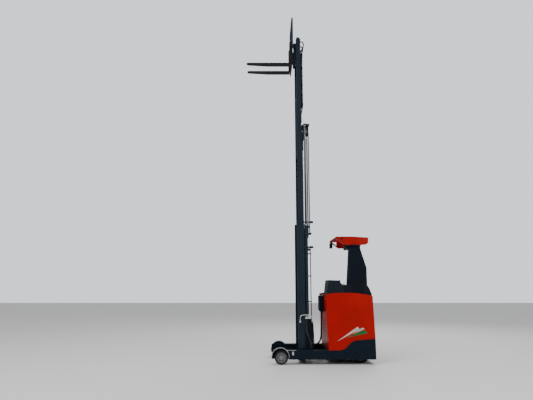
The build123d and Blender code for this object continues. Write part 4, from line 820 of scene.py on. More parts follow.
class TRUCK_OT_lift_chains(bpy.types.Operator):
    """Leaf chains and hoses between the mast's stages"""

    bl_idname = "truck.lift_chains"
    bl_label = "Mast chains and hoses"
    bl_options = {"REGISTER", "UNDO"}

    # node: fixed body, moving body, True where the fixed body holds the lower end
    strands = {
        "mast_lines_rear": ("reach_carriage", "middle_stage", True),
        "mast_lines_front": ("middle_stage", "inner_stage", False),
        "carriage_chains_rear": ("inner_stage", "free_lift", True),
        "carriage_chains_front": ("free_lift", "fork_carriage", False),
    }
    hose_width = 0.026  # a strand at least this wide is a pair of hoses
    link_depth = 0.92  # a link's share of its strand's depth

    def execute(self, context):
        settings = context.scene.truck_chains
        for node, (first, second, from_below) in self.strands.items():
            boxes = strand_boxes(node)
            chains = [b for b in boxes if (b[1] - b[0]).y < self.hose_width]
            hoses = [b for b in boxes if (b[1] - b[0]).y >= self.hose_width]
            paths = []
            for low, high in chains:
                middle = (low + high) / 2
                paths.append([Vector((middle.x, middle.y, z)) for z in (low.z, high.z)])
            low, high = chains[0]
            values = chain_links(settings, high.y - low.y, (high.x - low.x) * self.link_depth, node)
            piece = grow(node + "_links", path_mesh(node, paths), "row", values, None)
            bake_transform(piece)
            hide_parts(node)
            if hoses:
                pair = place(node + "_hoses", self.hose_pair(settings.hose / 2, hoses), "rubber", None)
                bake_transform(pair)
        return {"FINISHED"}

    def hose_pair(self, radius, boxes):
        """Two hoses side by side in each hose strand's room, with a few spacers."""
        spacing, half = 0.45, 0.009
        shape = Shape()
        for low, high in boxes:
            middle = (low + high) / 2
            length = high.z - low.z
            gap = (high.y - low.y) / 2 - radius
            for side in (-1, 1):
                shape.rod((middle.x, middle.y + side * gap, middle.z), UP, radius, length, sides=16)
            count = max(1, int(length / spacing))
            for i in range(count):
                z = low.z + (i + 0.5) * length / count
                shape.box((low.x, low.y, z - half), (high.x, high.y, z + half), bevel=0.002)
        return shape.mesh("hose_pair")


class TRUCK_OT_fasteners(bpy.types.Operator):
    """Hexagon heads and pan heads on the truck's bodies"""

    bl_idname = "truck.fasteners"
    bl_label = "Bolts and screws"
    bl_options = {"REGISTER", "UNDO"}

    # body, kind, slot, on both sides, way it faces, size, points in millimetres
    rows = (
        ("chassis", "pan", "red_paint", True, OUT, 1.0,
         ((-1290, 430, 2082), (-1345, 430, 2082), (-1165, 430, 2178), (-1545, 430, 2105))),
        ("chassis", "hex", "machined_steel", True, AHEAD, 0.9,
         ((-814, 490, 300), (-797, 490, 700), (-780, 490, 1100))),
        ("chassis", "pan", "hood_plastic", False, OUT, 0.8,
         ((-868, 519, 1232), (-892, 519, 1392), (-985, 519, 1392))),
        ("chassis", "pan", "hood_plastic", False, RIGHT, 0.8,
         ((-1030, -519, 1180), (-1165, -519, 1180))),
        ("chassis", "pan", "dark_plastic", False, OUT, 0.8,
         ((-1135, 520, 1296), (-1545, 520, 1225), (-1196, 519, 1388), (-1492, 519, 1388),
          (-1494, 519, 1600), (-1216, 519, 1640), (-1242, 519, 1935), (-1400, 519, 1935),
          (-722, 250, 1124), (-766, 250, 1124), (-722, 250, 908), (-772, 250, 908))),
        ("chassis", "pan", "dark_plastic", False, AHEAD, 0.8,
         ((-696, 50, 1124), (-696, 230, 1124), (-696, 50, 915), (-696, 230, 915))),
        ("chassis", "pan", "red_paint", False, BACK, 0.9,
         ((-1598, 128, 500), (-1582.6, 128, 1060), (-1598, 492, 500), (-1582.6, 492, 1060))),
        ("reach_carriage", "hex", "mast_paint", True, OUT, 1.1,
         ((-472, 394, 330), (-536, 394, 330), (-536, 394, 430), (-476, 394, 520), (-536, 394, 560),
          (-480, 394, 660), (-398, 394, 190))),
        ("reach_carriage", "hex", "mast_paint", True, OUT, 1.0,
         ((-400, 380, 806), (-400, 380, 856), (-400, 380, 1926), (-400, 380, 2004), (-400, 380, 2264),
          (-400, 380, 2474))),
        ("reach_carriage", "hex", "machined_steel", True, UP, 1.0, ((-508, 250, 2028), (-508, 120, 2028))),
        ("middle_stage", "hex", "mast_paint", True, UP, 1.0,
         ((-452, 260, 4352), (-536, 260, 4352), (-452, 185, 4352), (-536, 185, 4352))),
        ("middle_stage", "hex", "mast_paint", True, OUT, 0.8, ((-377, 324, 4300), (-377, 324, 4240))),
        ("inner_stage", "hex", "mast_paint", True, BACK, 0.8,
         ((-414, 220, 3877), (-414, 220, 4487), (-414, 220, 4865), (-414, 220, 5600),
          (-414, 220, 6067))),
        ("inner_stage", "hex", "mast_paint", True, OUT, 0.8, ((-362, 274, 6160),)),
        ("tilting_forks", "hex", "mast_paint", True, BACK, 0.8, ((-258.6, 320, 5965), (-258.6, 80, 5965))),
    )
    # body, way it faces, size, middle in millimetres, radius of the ring, count
    rings = (
        ("drive_wheel", RIGHT, 1.2, (-1390, 235, 165), 90, 8),
        ("load_wheel_left", OUT, 0.75, (0, 534, 116), 60, 6),
        ("load_wheel_right", RIGHT, 0.75, (0, -534, 116), 60, 6),
        ("castor_swivel", OUT, 1.5, (-1375, -244, 75), 0, 1),
        ("castor_swivel", RIGHT, 1.5, (-1375, -376, 75), 0, 1),
    )

    def execute(self, context):
        size = context.scene.truck_trim.bolt
        heads = {"hex": self.hexagon(size), "pan": self.pan(size)}
        rows = list(self.rows)
        for body, facing, scale, (x, y, z), radius, count in self.rings:
            points = [(x + radius * math.cos(a), y, z + radius * math.sin(a)) for a in turns(count, 0.5)]
            rows.append((body, "hex", "machined_steel", False, facing, scale, points))
        groups = {}
        for body, kind, slot, both, (fx, fy, fz), scale, points in rows:
            own = groups.setdefault((body, kind, slot), [])
            for side in (1, -1) if both else (1,):
                own += [(mm(x, y * side, z), (fx, fy * side, fz), scale) for x, y, z in points]
        for (body, kind, slot), spots in groups.items():
            finish = "navy_paint" if slot == "mast_paint" else slot
            name = f"{body}_{slot}_{kind}_heads"
            values = {"Piece": heads[kind], "Scale": 1.0, "Material": FINISH[finish]}
            grow(name, spot_mesh(name, spots), "spots", values, body)
        return {"FINISHED"}

    def hexagon(self, size):
        """A washer with a hexagon head on it."""
        shape = Shape()
        shape.rod((0, 0, 0.0006), UP, size * 0.70, 0.0016, sides=16)
        shape.rod((0, 0, 0.0014 + size * 0.2), UP, size * 0.55, size * 0.4, sides=6, bevel=size * 0.05)
        return helper("hex_head", shape)

    def pan(self, size):
        """A low round head with a small raised step on top."""
        shape = Shape()
        shape.rod((0, 0, size * 0.08), UP, size * 0.58, size * 0.18, sides=16, top=size * 0.46)
        shape.rod((0, 0, size * 0.17), UP, size * 0.40, size * 0.04, sides=16, top=size * 0.30)
        return helper("pan_head", shape)


class TRUCK_OT_bands(bpy.types.Operator):
    """Pale and green bands on the side panels, a pale strip along the top of each leg, and the leg's blank
    plate
    """

    bl_idname = "truck.bands"
    bl_label = "Bands and blank plates"
    bl_options = {"REGISTER", "UNDO"}

    # name, finish, (x, z) corners in millimetres
    bands = (
        ("wide_pale_band", "pale_band", ((-955, 384), (-1352, 592), (-1318, 630))),
        ("short_pale_band", "pale_band", ((-1225, 506), (-1440, 596), (-1398, 614))),
        ("green_band", "green_band", ((-1120, 448), (-1492, 524), (-1432, 578))),
    )
    panel_face, film = 0.5458, 0.0006
    # the blank oval plate: its middle, its half width and half height in millimetres, its thickness
    oval = ((-201, 187), (15.5, 34), (0.5474, 0.5485))

    def execute(self, context):
        for name, finish, outline in self.bands:
            shape = Shape()
            points = [mm(x, 0, z) for x, z in outline]
            for side in (1, -1):
                shape.plate([(p.x, p.z) for p in points], side * self.panel_face,
                            side * (self.panel_face + self.film))
            place(name, shape.mesh(name), finish, "chassis")
        place_rows((("leg_strips", "pale_band", "chassis", "navy_paint", True,
                     (("box", (-85, 514, 234.6), (-250, 545, 236.2), 0.5),)),))
        (x, z), (wide, tall), (inside, outside) = self.oval
        points = [mm(x + wide * math.cos(a), 0, z + tall * math.sin(a)) for a in turns(28)]
        plates = Shape()
        for side in (1, -1):
            plates.plate([(p.x, p.z) for p in points], side * inside, side * outside, bevel=0.0003)
        place("leg_plates", plates.mesh("leg_plates"), "pale_band", "chassis")
        return {"FINISHED"}


class TRUCK_OT_pads(bpy.types.Operator):
    """Knee and hip pads: blown up as cloth, then sewn across and piped round"""

    bl_idname = "truck.pads"
    bl_label = "Operator's pads"
    bl_options = {"REGISTER", "UNDO"}

    # node: axis that it faces, way it faces, sewn channels across
    pads = {"knee_pad": (0, -1, 2), "lean_pad": (1, -1, 1)}
    inset, waist, corner = 0.005, 0.007, 0.010  # how much the blank is smaller than the pad's room
    rim, crown, cuts = 0.50, 0.28, 23  # the blank's depth at its rim and the more in its middle
    pressure, frames = 4.0, 20
    welt, welt_sunk, welt_points = 0.0026, 0.0012, 180

    def execute(self, context):
        trim = context.scene.truck_trim
        for node, (axis, facing, channels) in self.pads.items():
            low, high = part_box(node)
            blank = self.blank(node, low, high, axis, facing, trim.voxel)
            self.blow(context.scene, blank, low, high, axis, trim.swell)
            cushion = self.smoothed(blank)
            self.sew(cushion, low, high, axis, facing, channels)
            pad = place(node + "_cushion", cushion, "pad_vinyl", "chassis")
            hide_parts(node)
            place(node + "_piping", self.piping(cushion, low, high, axis), "screen", "chassis")
        return {"FINISHED"}

    def blank(self, node, low, high, axis, facing, voxel):
        """The pad before it is blown up: a little small, its sides pulled in between the corners."""
        middle = (low + high) / 2
        half = (high - low) / 2
        wide = 1 - axis
        shape = Shape()
        bmesh.ops.create_cube(shape.bm, size=2.0)
        bmesh.ops.subdivide_edges(shape.bm, edges=shape.bm.edges[:], cuts=self.cuts,
                                  use_grid_fill=True)
        for vert in shape.bm.verts:
            u, v, w = vert.co
            dome = ((1 - u ** 4) * (1 - v ** 4)) ** 0.5
            less = self.inset + self.corner * max(0.0, w) * (1 - dome)
            spot = middle.copy()
            deep = half[axis] * (self.rim + self.crown * dome)
            spot[axis] += facing * (-half[axis] + (w + 1) * deep)
            spot[wide] += u * (half[wide] - self.waist * (1 - v * v) - less)
            spot.z += v * (half.z - self.waist * (1 - u * u) - less)
            vert.co = spot
        bmesh.ops.recalc_face_normals(shape.bm, faces=shape.bm.faces[:])
        blank = linked(node + "_blank", shape.mesh(node + "_blank"))
        remesh = blank.modifiers.new("Even", "REMESH")
        remesh.mode = "VOXEL"
        remesh.voxel_size = voxel
        self.keep(blank)
        held = blank.vertex_groups.new(name="held")
        back = (low if facing > 0 else high)[axis]
        near = [v.index for v in blank.data.vertices if abs(v.co[axis] - back) < voxel * 0.8]
        held.add(near, 1.0, "REPLACE")
        return blank

    def keep(self, item):
        """Makes what the modifiers give the object's own mesh."""
        mesh = kept_mesh(item)
        item.modifiers.clear()
        item.data = mesh

    def blow(self, scene, blank, low, high, axis, swell):
        """Cloth under pressure from inside, its back held, kept within the pad's room."""
        cloth = blank.modifiers.new("Cloth", "CLOTH")
        cloth.settings.use_pressure = True
        cloth.settings.uniform_pressure_force = self.pressure
        cloth.settings.vertex_group_mass = "held"
        cloth.settings.effector_weights.gravity = 0.0
        cloth.settings.quality = 4
        cloth.point_cache.frame_start = 1
        cloth.point_cache.frame_end = self.frames
        for step in range(self.frames):
            scene.frame_set(step + 1)
        before = [v.co.copy() for v in blank.data.vertices]
        self.keep(blank)
        scene.frame_set(1)
        side_gap, face_gap = 0.002, 0.0006
        margin = Vector((side_gap, side_gap, side_gap))
        margin[axis] = face_gap
        for vert, first in zip(blank.data.vertices, before):
            moved = vert.co - first
            if moved.length > swell:
                moved = moved.normalized() * swell
            vert.co = [min(max(c, a + m), b - m) for c, a, b, m in zip(first + moved, low, high, margin)]

    def smoothed(self, blank):
        """The blown pad with its corners relaxed and one subdivision."""
        relax = blank.modifiers.new("Relax", "SMOOTH")
        relax.factor = 0.5
        relax.iterations = 4
        finer = blank.modifiers.new("Finer", "SUBSURF")
        finer.levels = finer.render_levels = 1
        self.keep(blank)
        mesh = blank.data
        bpy.data.objects.remove(blank)
        mesh.shade_smooth()
        return mesh

    def sew(self, mesh, low, high, axis, facing, channels):
        """Sewn channels across the pad's front, with a little slack between them."""
        depth, width = 0.0075, 0.0055
        pucker, pucker_width, pucker_turns = 0.0009, 0.020, 260
        crease, creases_across, creases_up = 0.0005, 3.1, 14.0
        # the channels begin a little behind the pad's middle, and are at full depth further out
        begin, fade = -0.2, 0.6
        middle = (low + high) / 2
        half = (high - low) / 2
        wide = 1 - axis
        for vert in mesh.vertices:
            across = (vert.co[wide] - middle[wide]) / half[wide]
            front = (vert.co[axis] - middle[axis]) * facing / half[axis]
            share = max(0.0, min(1.0, (front - begin) / fade)) * (1 - abs(across) ** 6)
            pull = 0.0
            for k in range(channels):
                away = vert.co.z - (low.z + 2 * half.z * (k + 1) / (channels + 1))
                pull += depth * math.exp(-(away / width) ** 2)
                pull += (pucker * math.exp(-(away / pucker_width) ** 2)
                         * math.sin(across * half[wide] * pucker_turns))
            pull += crease * noise.noise(Vector((across * creases_across, vert.co.z * creases_up, axis)))
            vert.co[axis] -= facing * pull * share

    def piping(self, mesh, low, high, axis):
        """A welt round the pad, laid where a ray from its middle leaves it."""
        middle = (low + high) / 2
        tree = BVHTree.FromPolygons([v.co for v in mesh.vertices], [p.vertices[:] for p in mesh.polygons])
        ring = []
        for turn in turns(self.welt_points):
            way = Vector((0.0, 0.0, math.sin(turn)))
            way[1 - axis] = math.cos(turn)
            ring.append(tree.ray_cast(middle, way)[0] - way * self.welt_sunk)
        shape = Shape()
        shape.tube(ring, self.welt, sides=10, closed=True)
        bmesh.ops.recalc_face_normals(shape.bm, faces=shape.bm.faces[:])
        return shape.mesh("piping")


class TRUCK_OT_controls(bpy.types.Operator):
    """Display face, lever boot, switches on the console, and the treads underfoot"""

    bl_idname = "truck.controls"
    bl_label = "Operator's controls"
    bl_options = {"REGISTER", "UNDO"}

    rows = (
        ("lever_boot", "rubber", "chassis", "rubber", False,
         [("rod", (-1140.5, -225, 1310 + 9.5 * i), UP, 36 - 4.2 * i, 8.5, 28, 0.6, 31 - 4.2 * i)
          for i in range(5)]
         + [("rod", (-1140.5, -225, z), UP, 16.2, 4, 24, 0.8) for z in (1372, 1384, 1396)]),
        ("steering_caps", "screen", "steering", "rubber", False,
         (("rod", (-1306, 235, 1434), UP, 12.5, 6, 24, 2),
          ("rod", (-1380, 235, 1403.5), UP, 23, 5, 36, 1.5),
          ("rod", (-1380, 235, 1406.5), UP, 7.5, 4, 6, 0.6))),
        ("lever_keys", "pale_band", "chassis", "screen", False,
         [("rod", (x, y, 1431), UP, 5.2, 5, 16, 1)
          for x, y in ((-1150, -225), (-1131, -232), (-1131, -218))]),
        ("stop_button", "stop_red", "chassis", "dark_plastic", False,
         (("rod", (-1160, 150, 1355), UP, 18, 12, 28, 3), ("rod", (-1160, 150, 1346), UP, 10, 12, 20))),
        ("stop_button_ring", "stop_ring", "chassis", "dark_plastic", False,
         (("rod", (-1160, 150, 1341.5), UP, 25, 4, 32, 0.8),)),
        ("key_lock", "zinc", "chassis", "dark_plastic", False,
         (("rod", (-1160, 225, 1342.5), UP, 13, 6, 28, 1),
          ("rod", (-1160, 225, 1346.5), UP, 8, 4, 20, 0.6),
          ("box", (-1161.4, 217, 1348), (-1158.6, 233, 1370), 0.6))),
        ("rocker_switches", "screen", "chassis", "dark_plastic", False,
         [part for y in (280, 306, 332)
          for part in (("box", (-1172, y, 1339.5), (-1146, y + 18, 1342.5), 0.8),
                       ("box", (-1169, y + 3, 1342), (-1149, y + 15, 1346), 1.2))]),
    )
    # name, rib length, start and end, y, height of the surface, pitch
    treads = (
        ("mat_ribs", 590, -1196, -1592, -210, 261, 0.020),
        ("pedal_ribs_left", 108, -1246, -1376, -25, 279, 0.016),
        ("pedal_ribs_right", 108, -1246, -1376, -265, 279, 0.016),
    )
    rib = 0.0028

    def execute(self, context):
        self.display()
        place_rows(self.rows)
        height = context.scene.truck_trim.tread
        for name, width, start, end, y, z, pitch in self.treads:
            shape = Shape()
            shape.box((-height, -width / 2000, -self.rib), (height, width / 2000, self.rib), bevel=0.0008)
            piece = helper(name + "_rib", shape)
            values = {"Odd Piece": piece, "Even Piece": piece, "Pitch": pitch,
                      "Material": FINISH["rubber"]}
            line = path_mesh(name, [[mm(start, y, z), mm(end, y, z)]])
            grow(name, line, "row", values, "chassis")
        return {"FINISHED"}

    def display(self):
        """Screen and keys on the display panel, laid in the frame of the hood's slope."""
        top = mm(-1010, 0, 1420)
        along = (mm(-1096, 0, 1334) - top).normalized()
        left = Vector((0, -1, 0))
        slope = Matrix((along, left, along.cross(left))).transposed().to_4x4()
        slope.translation = top
        glass = Shape()
        glass.box((0.016, -0.056, 0.0176), (0.078, 0.046, 0.0192), 0.0008, slope)
        place("display_glass", glass.mesh("display_glass"), "glass", "chassis")
        keys = Shape()
        for i in range(5):
            y = -0.054 + i * 0.0205
            keys.box((0.088, y, 0.0176), (0.104, y + 0.0155, 0.0206), 0.0012, slope)
        bezel = [slope @ Vector((x, y, 0.018)) for x, y in ((0.011, -0.061), (0.083, -0.061),
                                                            (0.083, 0.051), (0.011, 0.051))]
        ring = []
        for a, b in zip(bezel, bezel[1:] + bezel[:1]):
            ring += [a.lerp(b, t) for t in (0.04, 0.35, 0.65, 0.96)]
        keys.tube(ring, 0.0016, sides=8, closed=True)
        place("display_keys", keys.mesh("display_keys"), "rubber", "chassis")


def door_x(z):
    """Where the drive bay's leaning door has its face, at a height; both in millimetres."""
    return -1600 + 0.0275 * (z - 430)


def bulkhead_x(z):
    """The same for the front bulkhead."""
    return -817 + 0.0433 * (z - 235)


class TRUCK_OT_body_trim(bpy.types.Operator):
    """Louvres, latches, hinges, the lamp's lens and the seams of the covers"""

    bl_idname = "truck.body_trim"
    bl_label = "Body trim"
    bl_options = {"REGISTER", "UNDO"}

    rows = (
        ("cover_seams", "screen", "chassis", "dark_plastic", False,
         (("box", (-1172, 517, 1341), (-1514, 521.5, 1350), 1.2),
          ("box", (-1112, 518.5, 1322), (-1516, 521.2, 1326), 0.8),
          ("box", (-697.6, 28.4, 1098), (-776, 251.6, 1104), 0.8),
          ("rod", (-752, 140, 865), UP, 22, 14, 28, 2),
          ("rod", (-752, 140, 856), UP, 18.5, 6, 28, 1))),
        ("door_fittings", "screen", "chassis", "dark_plastic", False,
         [("box", (door_x(800) + 1, 440, 740), (door_x(800) - 4, 490, 860), 1.5),
          ("box", (door_x(800) - 3, 452, 765), (door_x(800) - 13, 478, 790), 3),
          ("rod", (door_x(800) - 5, 465, 830), BACK, 9, 6, 20, 0.8)]
         + [part for z in (520, 1030)
            for part in (("rod", (door_x(z) - 5, 118, z), UP, 8, 70, 16, 1),
                         ("box", (door_x(z) + 1, 110, z - 30), (door_x(z) - 3, 160, z + 30), 1))]),
        ("lamp_lens", "lens", "chassis", "lamp_body", False,
         (("rod", (-981.5, -335, 2095), AHEAD, 29, 7, 32, 2),)),
        ("lamp_shell", "lamp_body", "chassis", "lamp_body", False,
         [("box", (-979, -335 + side * 34, 2058), (-1030, -335 + side * 37, 2132), 1) for side in (-1, 1)]
         + [("box", (-977, -372, 2143), (-1034, -298, 2147), 1)]
         + [("box", (-1032, -366, z), (-1038, -304, z + 6), 1) for z in range(2062, 2127, 16)]),
        ("axle_cap_trim", "machined_steel", "chassis", "machined_steel", True,
         (("rod", (0, 547.6, 116), OUT, 26, 1.6, 32, 0.5), ("rod", (0, 548, 116), OUT, 4.5, 3, 14, 0, 3))),
    )
    # one louvre: its section, (x, z) in millimetres from the bulkhead's face, and its half width
    louvre, half_width = ((-1, 24), (11, 8), (9.5, 6.5), (-1, 19)), 0.178

    def execute(self, context):
        louvres = Shape()
        for z in range(520, 731, 42):
            points = [mm(bulkhead_x(z) + dx, 0, z + dz) for dx, dz in self.louvre]
            louvres.plate([(p.x, p.z) for p in points], -self.half_width, self.half_width,
                          bevel=0.0006)
        place("bulkhead_louvres", louvres.mesh("bulkhead_louvres"), "red_paint", "chassis")
        place_rows(self.rows)
        return {"FINISHED"}


# body: (x, y, height of the clevis, offset from it down to the stud), in millimetres
CHAIN_ENDS = {
    "reach_carriage": ((-520.3, 250, 2273.3, -18), (-520.3, 185, 2273.3, -18)),
    "inner_stage": ((-441.7, 250, 3917, -30), (-389.3, 70, 4950, -25)),
    "fork_carriage": ((-334.7, 70, 5817, -28),),
}


def chain_end_rows():
    """The clevis, pin, stud and nut at each chain's end."""
    return [(body + "_chain_ends", "machined_steel", body, "machined_steel", True,
             [part for x, y, z, drop in ends
              for part in (("box", (x - 5.5, y - 11, z), (x + 5.5, y + 11, z + 24), 1.5),
                           ("rod", (x, y, z + 14), OUT, 4.2, 27, 14, 0.4),
                           ("rod", (x, y, z + drop - 12), UP, 5.5, 26, 14, 0.6),
                           ("rod", (x, y, z + drop - 7), UP, 10.5, 10, 6, 0.8))])
            for body, ends in CHAIN_ENDS.items()]


class TRUCK_OT_carriage_lines(bpy.types.Operator):
    """Valve block, pipes, a hose and their clips on the reach carriage"""

    bl_idname = "truck.carriage_lines"
    bl_label = "Carriage lines"
    bl_options = {"REGISTER", "UNDO"}

    valves = (
        ("carriage_valve_block", "zinc", "reach_carriage", "machined_steel", False,
         [("box", (-428, 384.5, 755), (-526, 408, 789), 1.5)]
         + [part for x in (-442, -465, -488, -511)
            for part in (("rod", (x, 411, 772), OUT, 9.5, 8, 6, 0.6),
                         ("rod", (x, 417, 772), OUT, 6.2, 8, 14, 0.6))]
         + [part for x in (-448, -478, -508)
            for part in (("rod", (x, 395, 794), UP, 8.5, 12, 6, 0.6),
                         ("rod", (x, 395, 801), UP, 6, 6, 14))]
         + [("rod", (-548, 401.3, z), UP, 10.2, 10, 6, 0.8) for z in (700, 722, 744)]
         + [("rod", (-338, 401.3, 728), UP, 10.2, 14, 6, 0.8)]),
    )
    # (x, z) of the front one of the two pipes, and of the hose
    pipe = ((-440, 756), (-440, 560), (-443, 540), (-450, 520), (-505, 372), (-512, 352), (-514, 332),
            (-514, 262))
    hose = ((-556, 690), (-561, 660), (-567, 560), (-571, 440), (-573, 330), (-568, 285), (-552, 262),
            (-530, 256))
    clips = ([("box", (x - 12, 391, z - 9), (x + 12, 413, z + 9), 2)
              for x, z in ((-563, 636), (-569, 500), (-573, 372))]
             + [("box", (x - 22, 392, z - 7), (x + 14, 408, z + 7), 1.5)
                for x, z in ((-448, 640), (-486, 425), (-522, 300))]
             + [("box", (-556, 304, z - 9), (-497, 340, z + 9), 2) for z in (1050, 1500, 1900)])

    def execute(self, context):
        place_rows(self.valves)
        pipes = Shape()
        for behind in (0, 16):
            pipes.tube([mm(x - behind, 400.4, z) for x, z in self.pipe], 0.0052, sides=12)
        place("carriage_pipes", pipes.mesh("carriage_pipes"), "chain_steel", "reach_carriage")
        dark = Shape()
        dark.tube([mm(x, 403, z) for x, z in self.hose], 0.0085, sides=14)
        dark.add(self.clips)
        place("carriage_clips", dark.mesh("carriage_clips"), "screen", "reach_carriage")
        return {"FINISHED"}


class TRUCK_OT_mast_hoses(bpy.types.Operator):
    """Hoses strapped behind the top hoses, and hoses up to the crosshead's rear bar"""

    bl_idname = "truck.mast_hoses"
    bl_label = "Mast hoses"
    bl_options = {"REGISTER", "UNDO"}

    # diameter and (x, z) of the hose and the cable that run up behind each top hose
    bundle = (
        (20, ((-452, 4838), (-450, 4900), (-448, 4990), (-448, 5620), (-448, 5900), (-456, 5960),
              (-476, 6030), (-486, 6080))),
        (9, ((-460, 4850), (-463, 4910), (-464, 4990), (-464, 5620), (-464, 5880), (-470, 5950),
             (-480, 6020), (-487, 6060))),
    )
    straps = (
        ("mast_hose_straps", "screen", "inner_stage", "rubber", True,
         [("box", (-412.5, 87.5, z - 8), (-469.8, 112.5, z + 8), 4) for z in (5040, 5240, 5440, 5840)]),
    )
    bar, foot, head = -550.5, 2282, 4216
    bar_ends = (
        ("bar_hose_feet", "cast_iron", "reach_carriage", "mast_paint", True,
         [("box", (-527, 162, 2256), (-560, 210, 2272), 2)]
         + [("rod", (-550.5, y, 2282), UP, 10, 24, 6, 1) for y in (175, 197)]),
        ("bar_hose_heads", "cast_iron", "middle_stage", "machined_steel", True,
         [("rod", (-550.5, y, 4216), UP, 10, 26, 6, 1) for y in (175, 197)]),
    )

    def execute(self, context):
        for side, hand in ((1, "left"), (-1, "right")):
            for diameter, route in self.bundle:
                name = f"mast_hose_{hand}_{diameter}"
                line = routed([mm(x, side * 100, z) for x, z in route], diameter / 1000, name)[1]
                place(name, line, "rubber", "inner_stage")
        place_rows(self.straps)
        shape = Shape()
        middle, length = (self.foot + self.head) / 2, self.head - self.foot
        shape.add([("rod", (self.bar, y, middle), UP, 8.8, length, 18) for y in (175, 197)], both=True)
        lines = place("bar_hoses", shape.mesh("bar_hoses"), "rubber", None)
        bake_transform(lines)
        place_rows(self.bar_ends)
        return {"FINISHED"}


class TRUCK_OT_mast_trim(bpy.types.Operator):
    """Glands, nuts, flanges and chain ends of the mast"""

    bl_idname = "truck.mast_trim"
    bl_label = "Mast fittings"
    bl_options = {"REGISTER", "UNDO"}

    rows = (
        ("lift_glands", "machined_steel", "reach_carriage", "machined_steel", True,
         (("rod", (-469, 346, 2423), UP, 33.5, 26, 36, 1.5),
          ("box", (-498, 336, 142), (-522, 356, 172), 2),
          ("rod", (-510, 346, 180), UP, 9, 16, 6, 0.6))),
        ("lift_wipers", "rubber", "reach_carriage", "rubber", True,
         (("rod", (-469, 346, 2443), UP, 26, 6, 32, 1),)),
        ("rod_nuts", "machined_steel", "middle_stage", "machined_steel", True,
         (("rod", (-469, 346, 4359), UP, 24, 14, 6, 1.2), ("rod", (-469, 346, 4369), UP, 12, 10, 20, 1),
          ("rod", (-469, 346, 4322), UP, 30, 15, 32, 1.5))),
        ("free_lift_gland", "machined_steel", "inner_stage", "machined_steel", False,
         (("rod", (-362, 0, 4967), UP, 37.2, 26, 36, 1.5), ("rod", (-362, 0, 4989), UP, 27.5, 8, 32, 1))),
        # rims that keep the chains on their sheaves, and the pins that the sheaves turn on
        ("sheave_rims", "machined_steel", "middle_stage", "machined_steel", True,
         [("rod", (-481, y, 4252), OUT, 40, 2.4, 40, 0.6) for y in (266, 234, 203.8, 166.2)]
         + [("rod", (-481, y, 4252), OUT, 12, width, 24, 1) for y, width in ((250, 60), (182, 46))]),
        ("free_sheave_rims", "machined_steel", "free_lift", "machined_steel", True,
         [("rod", (-362, y, 6040), OUT, 27.5, 3, 36, 0.6) for y in (86, 56)]
         + [("rod", (-362, 93, 6040), OUT, 14.5, 3, 24, 0.6)]),
    )

    def execute(self, context):
        place_rows(self.rows)
        place_rows(chain_end_rows())
        return {"FINISHED"}


class TRUCK_OT_fork_locks(bpy.types.Operator):
    """Spring pins on the forks' hooks"""

    bl_idname = "truck.fork_locks"
    bl_label = "Fork locks"
    bl_options = {"REGISTER", "UNDO"}

    rows = (
        ("fork_lock_pins", "machined_steel", "tilting_forks", "machined_steel", True,
         (("rod", (-218, 185, 6106), UP, 14, 14, 28, 1.5), ("rod", (-218, 185, 6122), UP, 8.5, 24, 24, 1),
          ("rod", (-218, 185, 6137), UP, 15, 12, 28, 4))),
    )

    def execute(self, context):
        place_rows(self.rows)
        return {"FINISHED"}


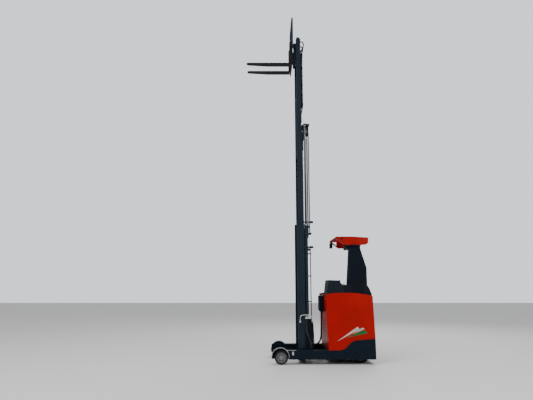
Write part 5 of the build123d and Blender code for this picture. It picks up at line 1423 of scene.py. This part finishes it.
class TRUCK_OT_stage(bpy.types.Operator):
    """Pale floor, soft light and the camera"""

    bl_idname = "truck.stage"
    bl_label = "Stage"
    bl_options = {"REGISTER", "UNDO"}

    floor_reach = 30.0
    floor_colour, floor_roughness = (0.62, 0.61, 0.60), 0.85
    # the sky that is seen is paler than the one that lights the truck
    sky_colour, sky_light, sky_seen = (0.80, 0.84, 0.90, 1.0), 0.46, 0.95
    overhead, overhead_spread = 1.3, math.radians(70)
    # name: place, size, power
    lamps = {"key": (at(4.5, 6.0, 7.5), 5.0, 570.0), "fill": (at(-5.5, 6.5, 4.0), 6.0, 300.0),
             "rim": (at(-3.5, -6.0, 7.0), 4.0, 380.0)}
    lit_point = at(-0.5, 0.0, 2.4)

    def execute(self, context):
        self.floor()
        world = bpy.data.worlds.new("soft sky")
        world.use_nodes = True
        s = Sketch(world.node_tree)
        sky = world.node_tree.nodes["Background"].inputs
        s.put(self.sky_colour, sky["Color"])
        seen = s.node("ShaderNodeLightPath").outputs["Is Camera Ray"]
        s.put(s.math("MULTIPLY_ADD", seen, self.sky_seen, self.sky_light), sky["Strength"])
        context.scene.world = world
        sun = bpy.data.lights.new("overhead", "SUN")
        sun.energy = self.overhead
        sun.angle = self.overhead_spread
        linked("overhead", sun)
        for name, (spot, width, power) in self.lamps.items():
            data = bpy.data.lights.new(name, "AREA")
            data.size = width
            data.energy = power
            lamp = linked(name, data)
            lamp.location = spot
            lamp.rotation_euler = (self.lit_point - spot).to_track_quat("-Z", "Y").to_euler()
        settings = context.scene.truck_stage
        data = bpy.data.cameras.new("camera")
        data.lens = settings.lens
        data.sensor_width = 36.0
        camera = linked("camera", data)
        camera.location = at(settings.along, settings.distance, settings.height)
        camera.rotation_euler = (math.pi / 2 + settings.pitch, 0.0, math.pi)
        context.scene.camera = camera
        return {"FINISHED"}

    def floor(self):
        far = self.floor_reach
        mesh = bpy.data.meshes.new("floor")
        mesh.from_pydata([(-far, -far, 0), (far, -far, 0), (far, far, 0), (-far, far, 0)], [],
                         [(0, 1, 2, 3)])
        material = bpy.data.materials.new("floor matte")
        material.use_nodes = True
        s = Sketch(material.node_tree)
        shader = material.node_tree.nodes["Principled BSDF"].inputs
        base = s.mix(s.noise(s.spot(), 1.5, 4.0), colour4(self.floor_colour, 0.97),
                     colour4(self.floor_colour))
        s.put(base, shader["Base Color"])
        s.put(self.floor_roughness, shader["Roughness"])
        mesh.materials.append(material)
        linked("floor", mesh)


GROUPS = {"truck_paint": TruckPaint, "truck_chains": TruckChains, "truck_hoses": TruckHoses,
          "truck_trim": TruckTrim, "truck_stage": TruckStage}
STEPS = (TRUCK_OT_finishes, TRUCK_OT_reach_hose, TRUCK_OT_lift_chains, TRUCK_OT_fasteners,
         TRUCK_OT_bands, TRUCK_OT_pads, TRUCK_OT_controls, TRUCK_OT_body_trim, TRUCK_OT_carriage_lines,
         TRUCK_OT_mast_hoses, TRUCK_OT_mast_trim, TRUCK_OT_fork_locks, TRUCK_OT_stage)


class TRUCK_PT_dressing(bpy.types.Panel):
    """Lists the dressing's settings and steps"""

    bl_idname = "TRUCK_PT_dressing"
    bl_label = "Reach Truck"
    bl_space_type = "VIEW_3D"
    bl_region_type = "UI"
    bl_category = "Reach Truck"

    def draw(self, context):
        for label in GROUPS:
            group = getattr(context.scene, label)
            box = self.layout.box()
            for name in group.bl_rna.properties.keys():
                if name not in ("name", "rna_type"):
                    box.prop(group, name)
        for operator in STEPS:
            self.layout.operator(operator.bl_idname)


CLASSES = (*GROUPS.values(), *STEPS, TRUCK_PT_dressing)


def register():
    for item in CLASSES:
        bpy.utils.register_class(item)
    for name, group in GROUPS.items():
        setattr(bpy.types.Scene, name, PointerProperty(type=group))


def unregister():
    for name in GROUPS:
        delattr(bpy.types.Scene, name)
    for item in reversed(CLASSES):
        bpy.utils.unregister_class(item)


def main():
    register()
    for step in STEPS:
        group, name = step.bl_idname.split(".")
        getattr(getattr(bpy.ops, group), name)()
    drop_helpers()


if __name__ == "__main__":
    main()
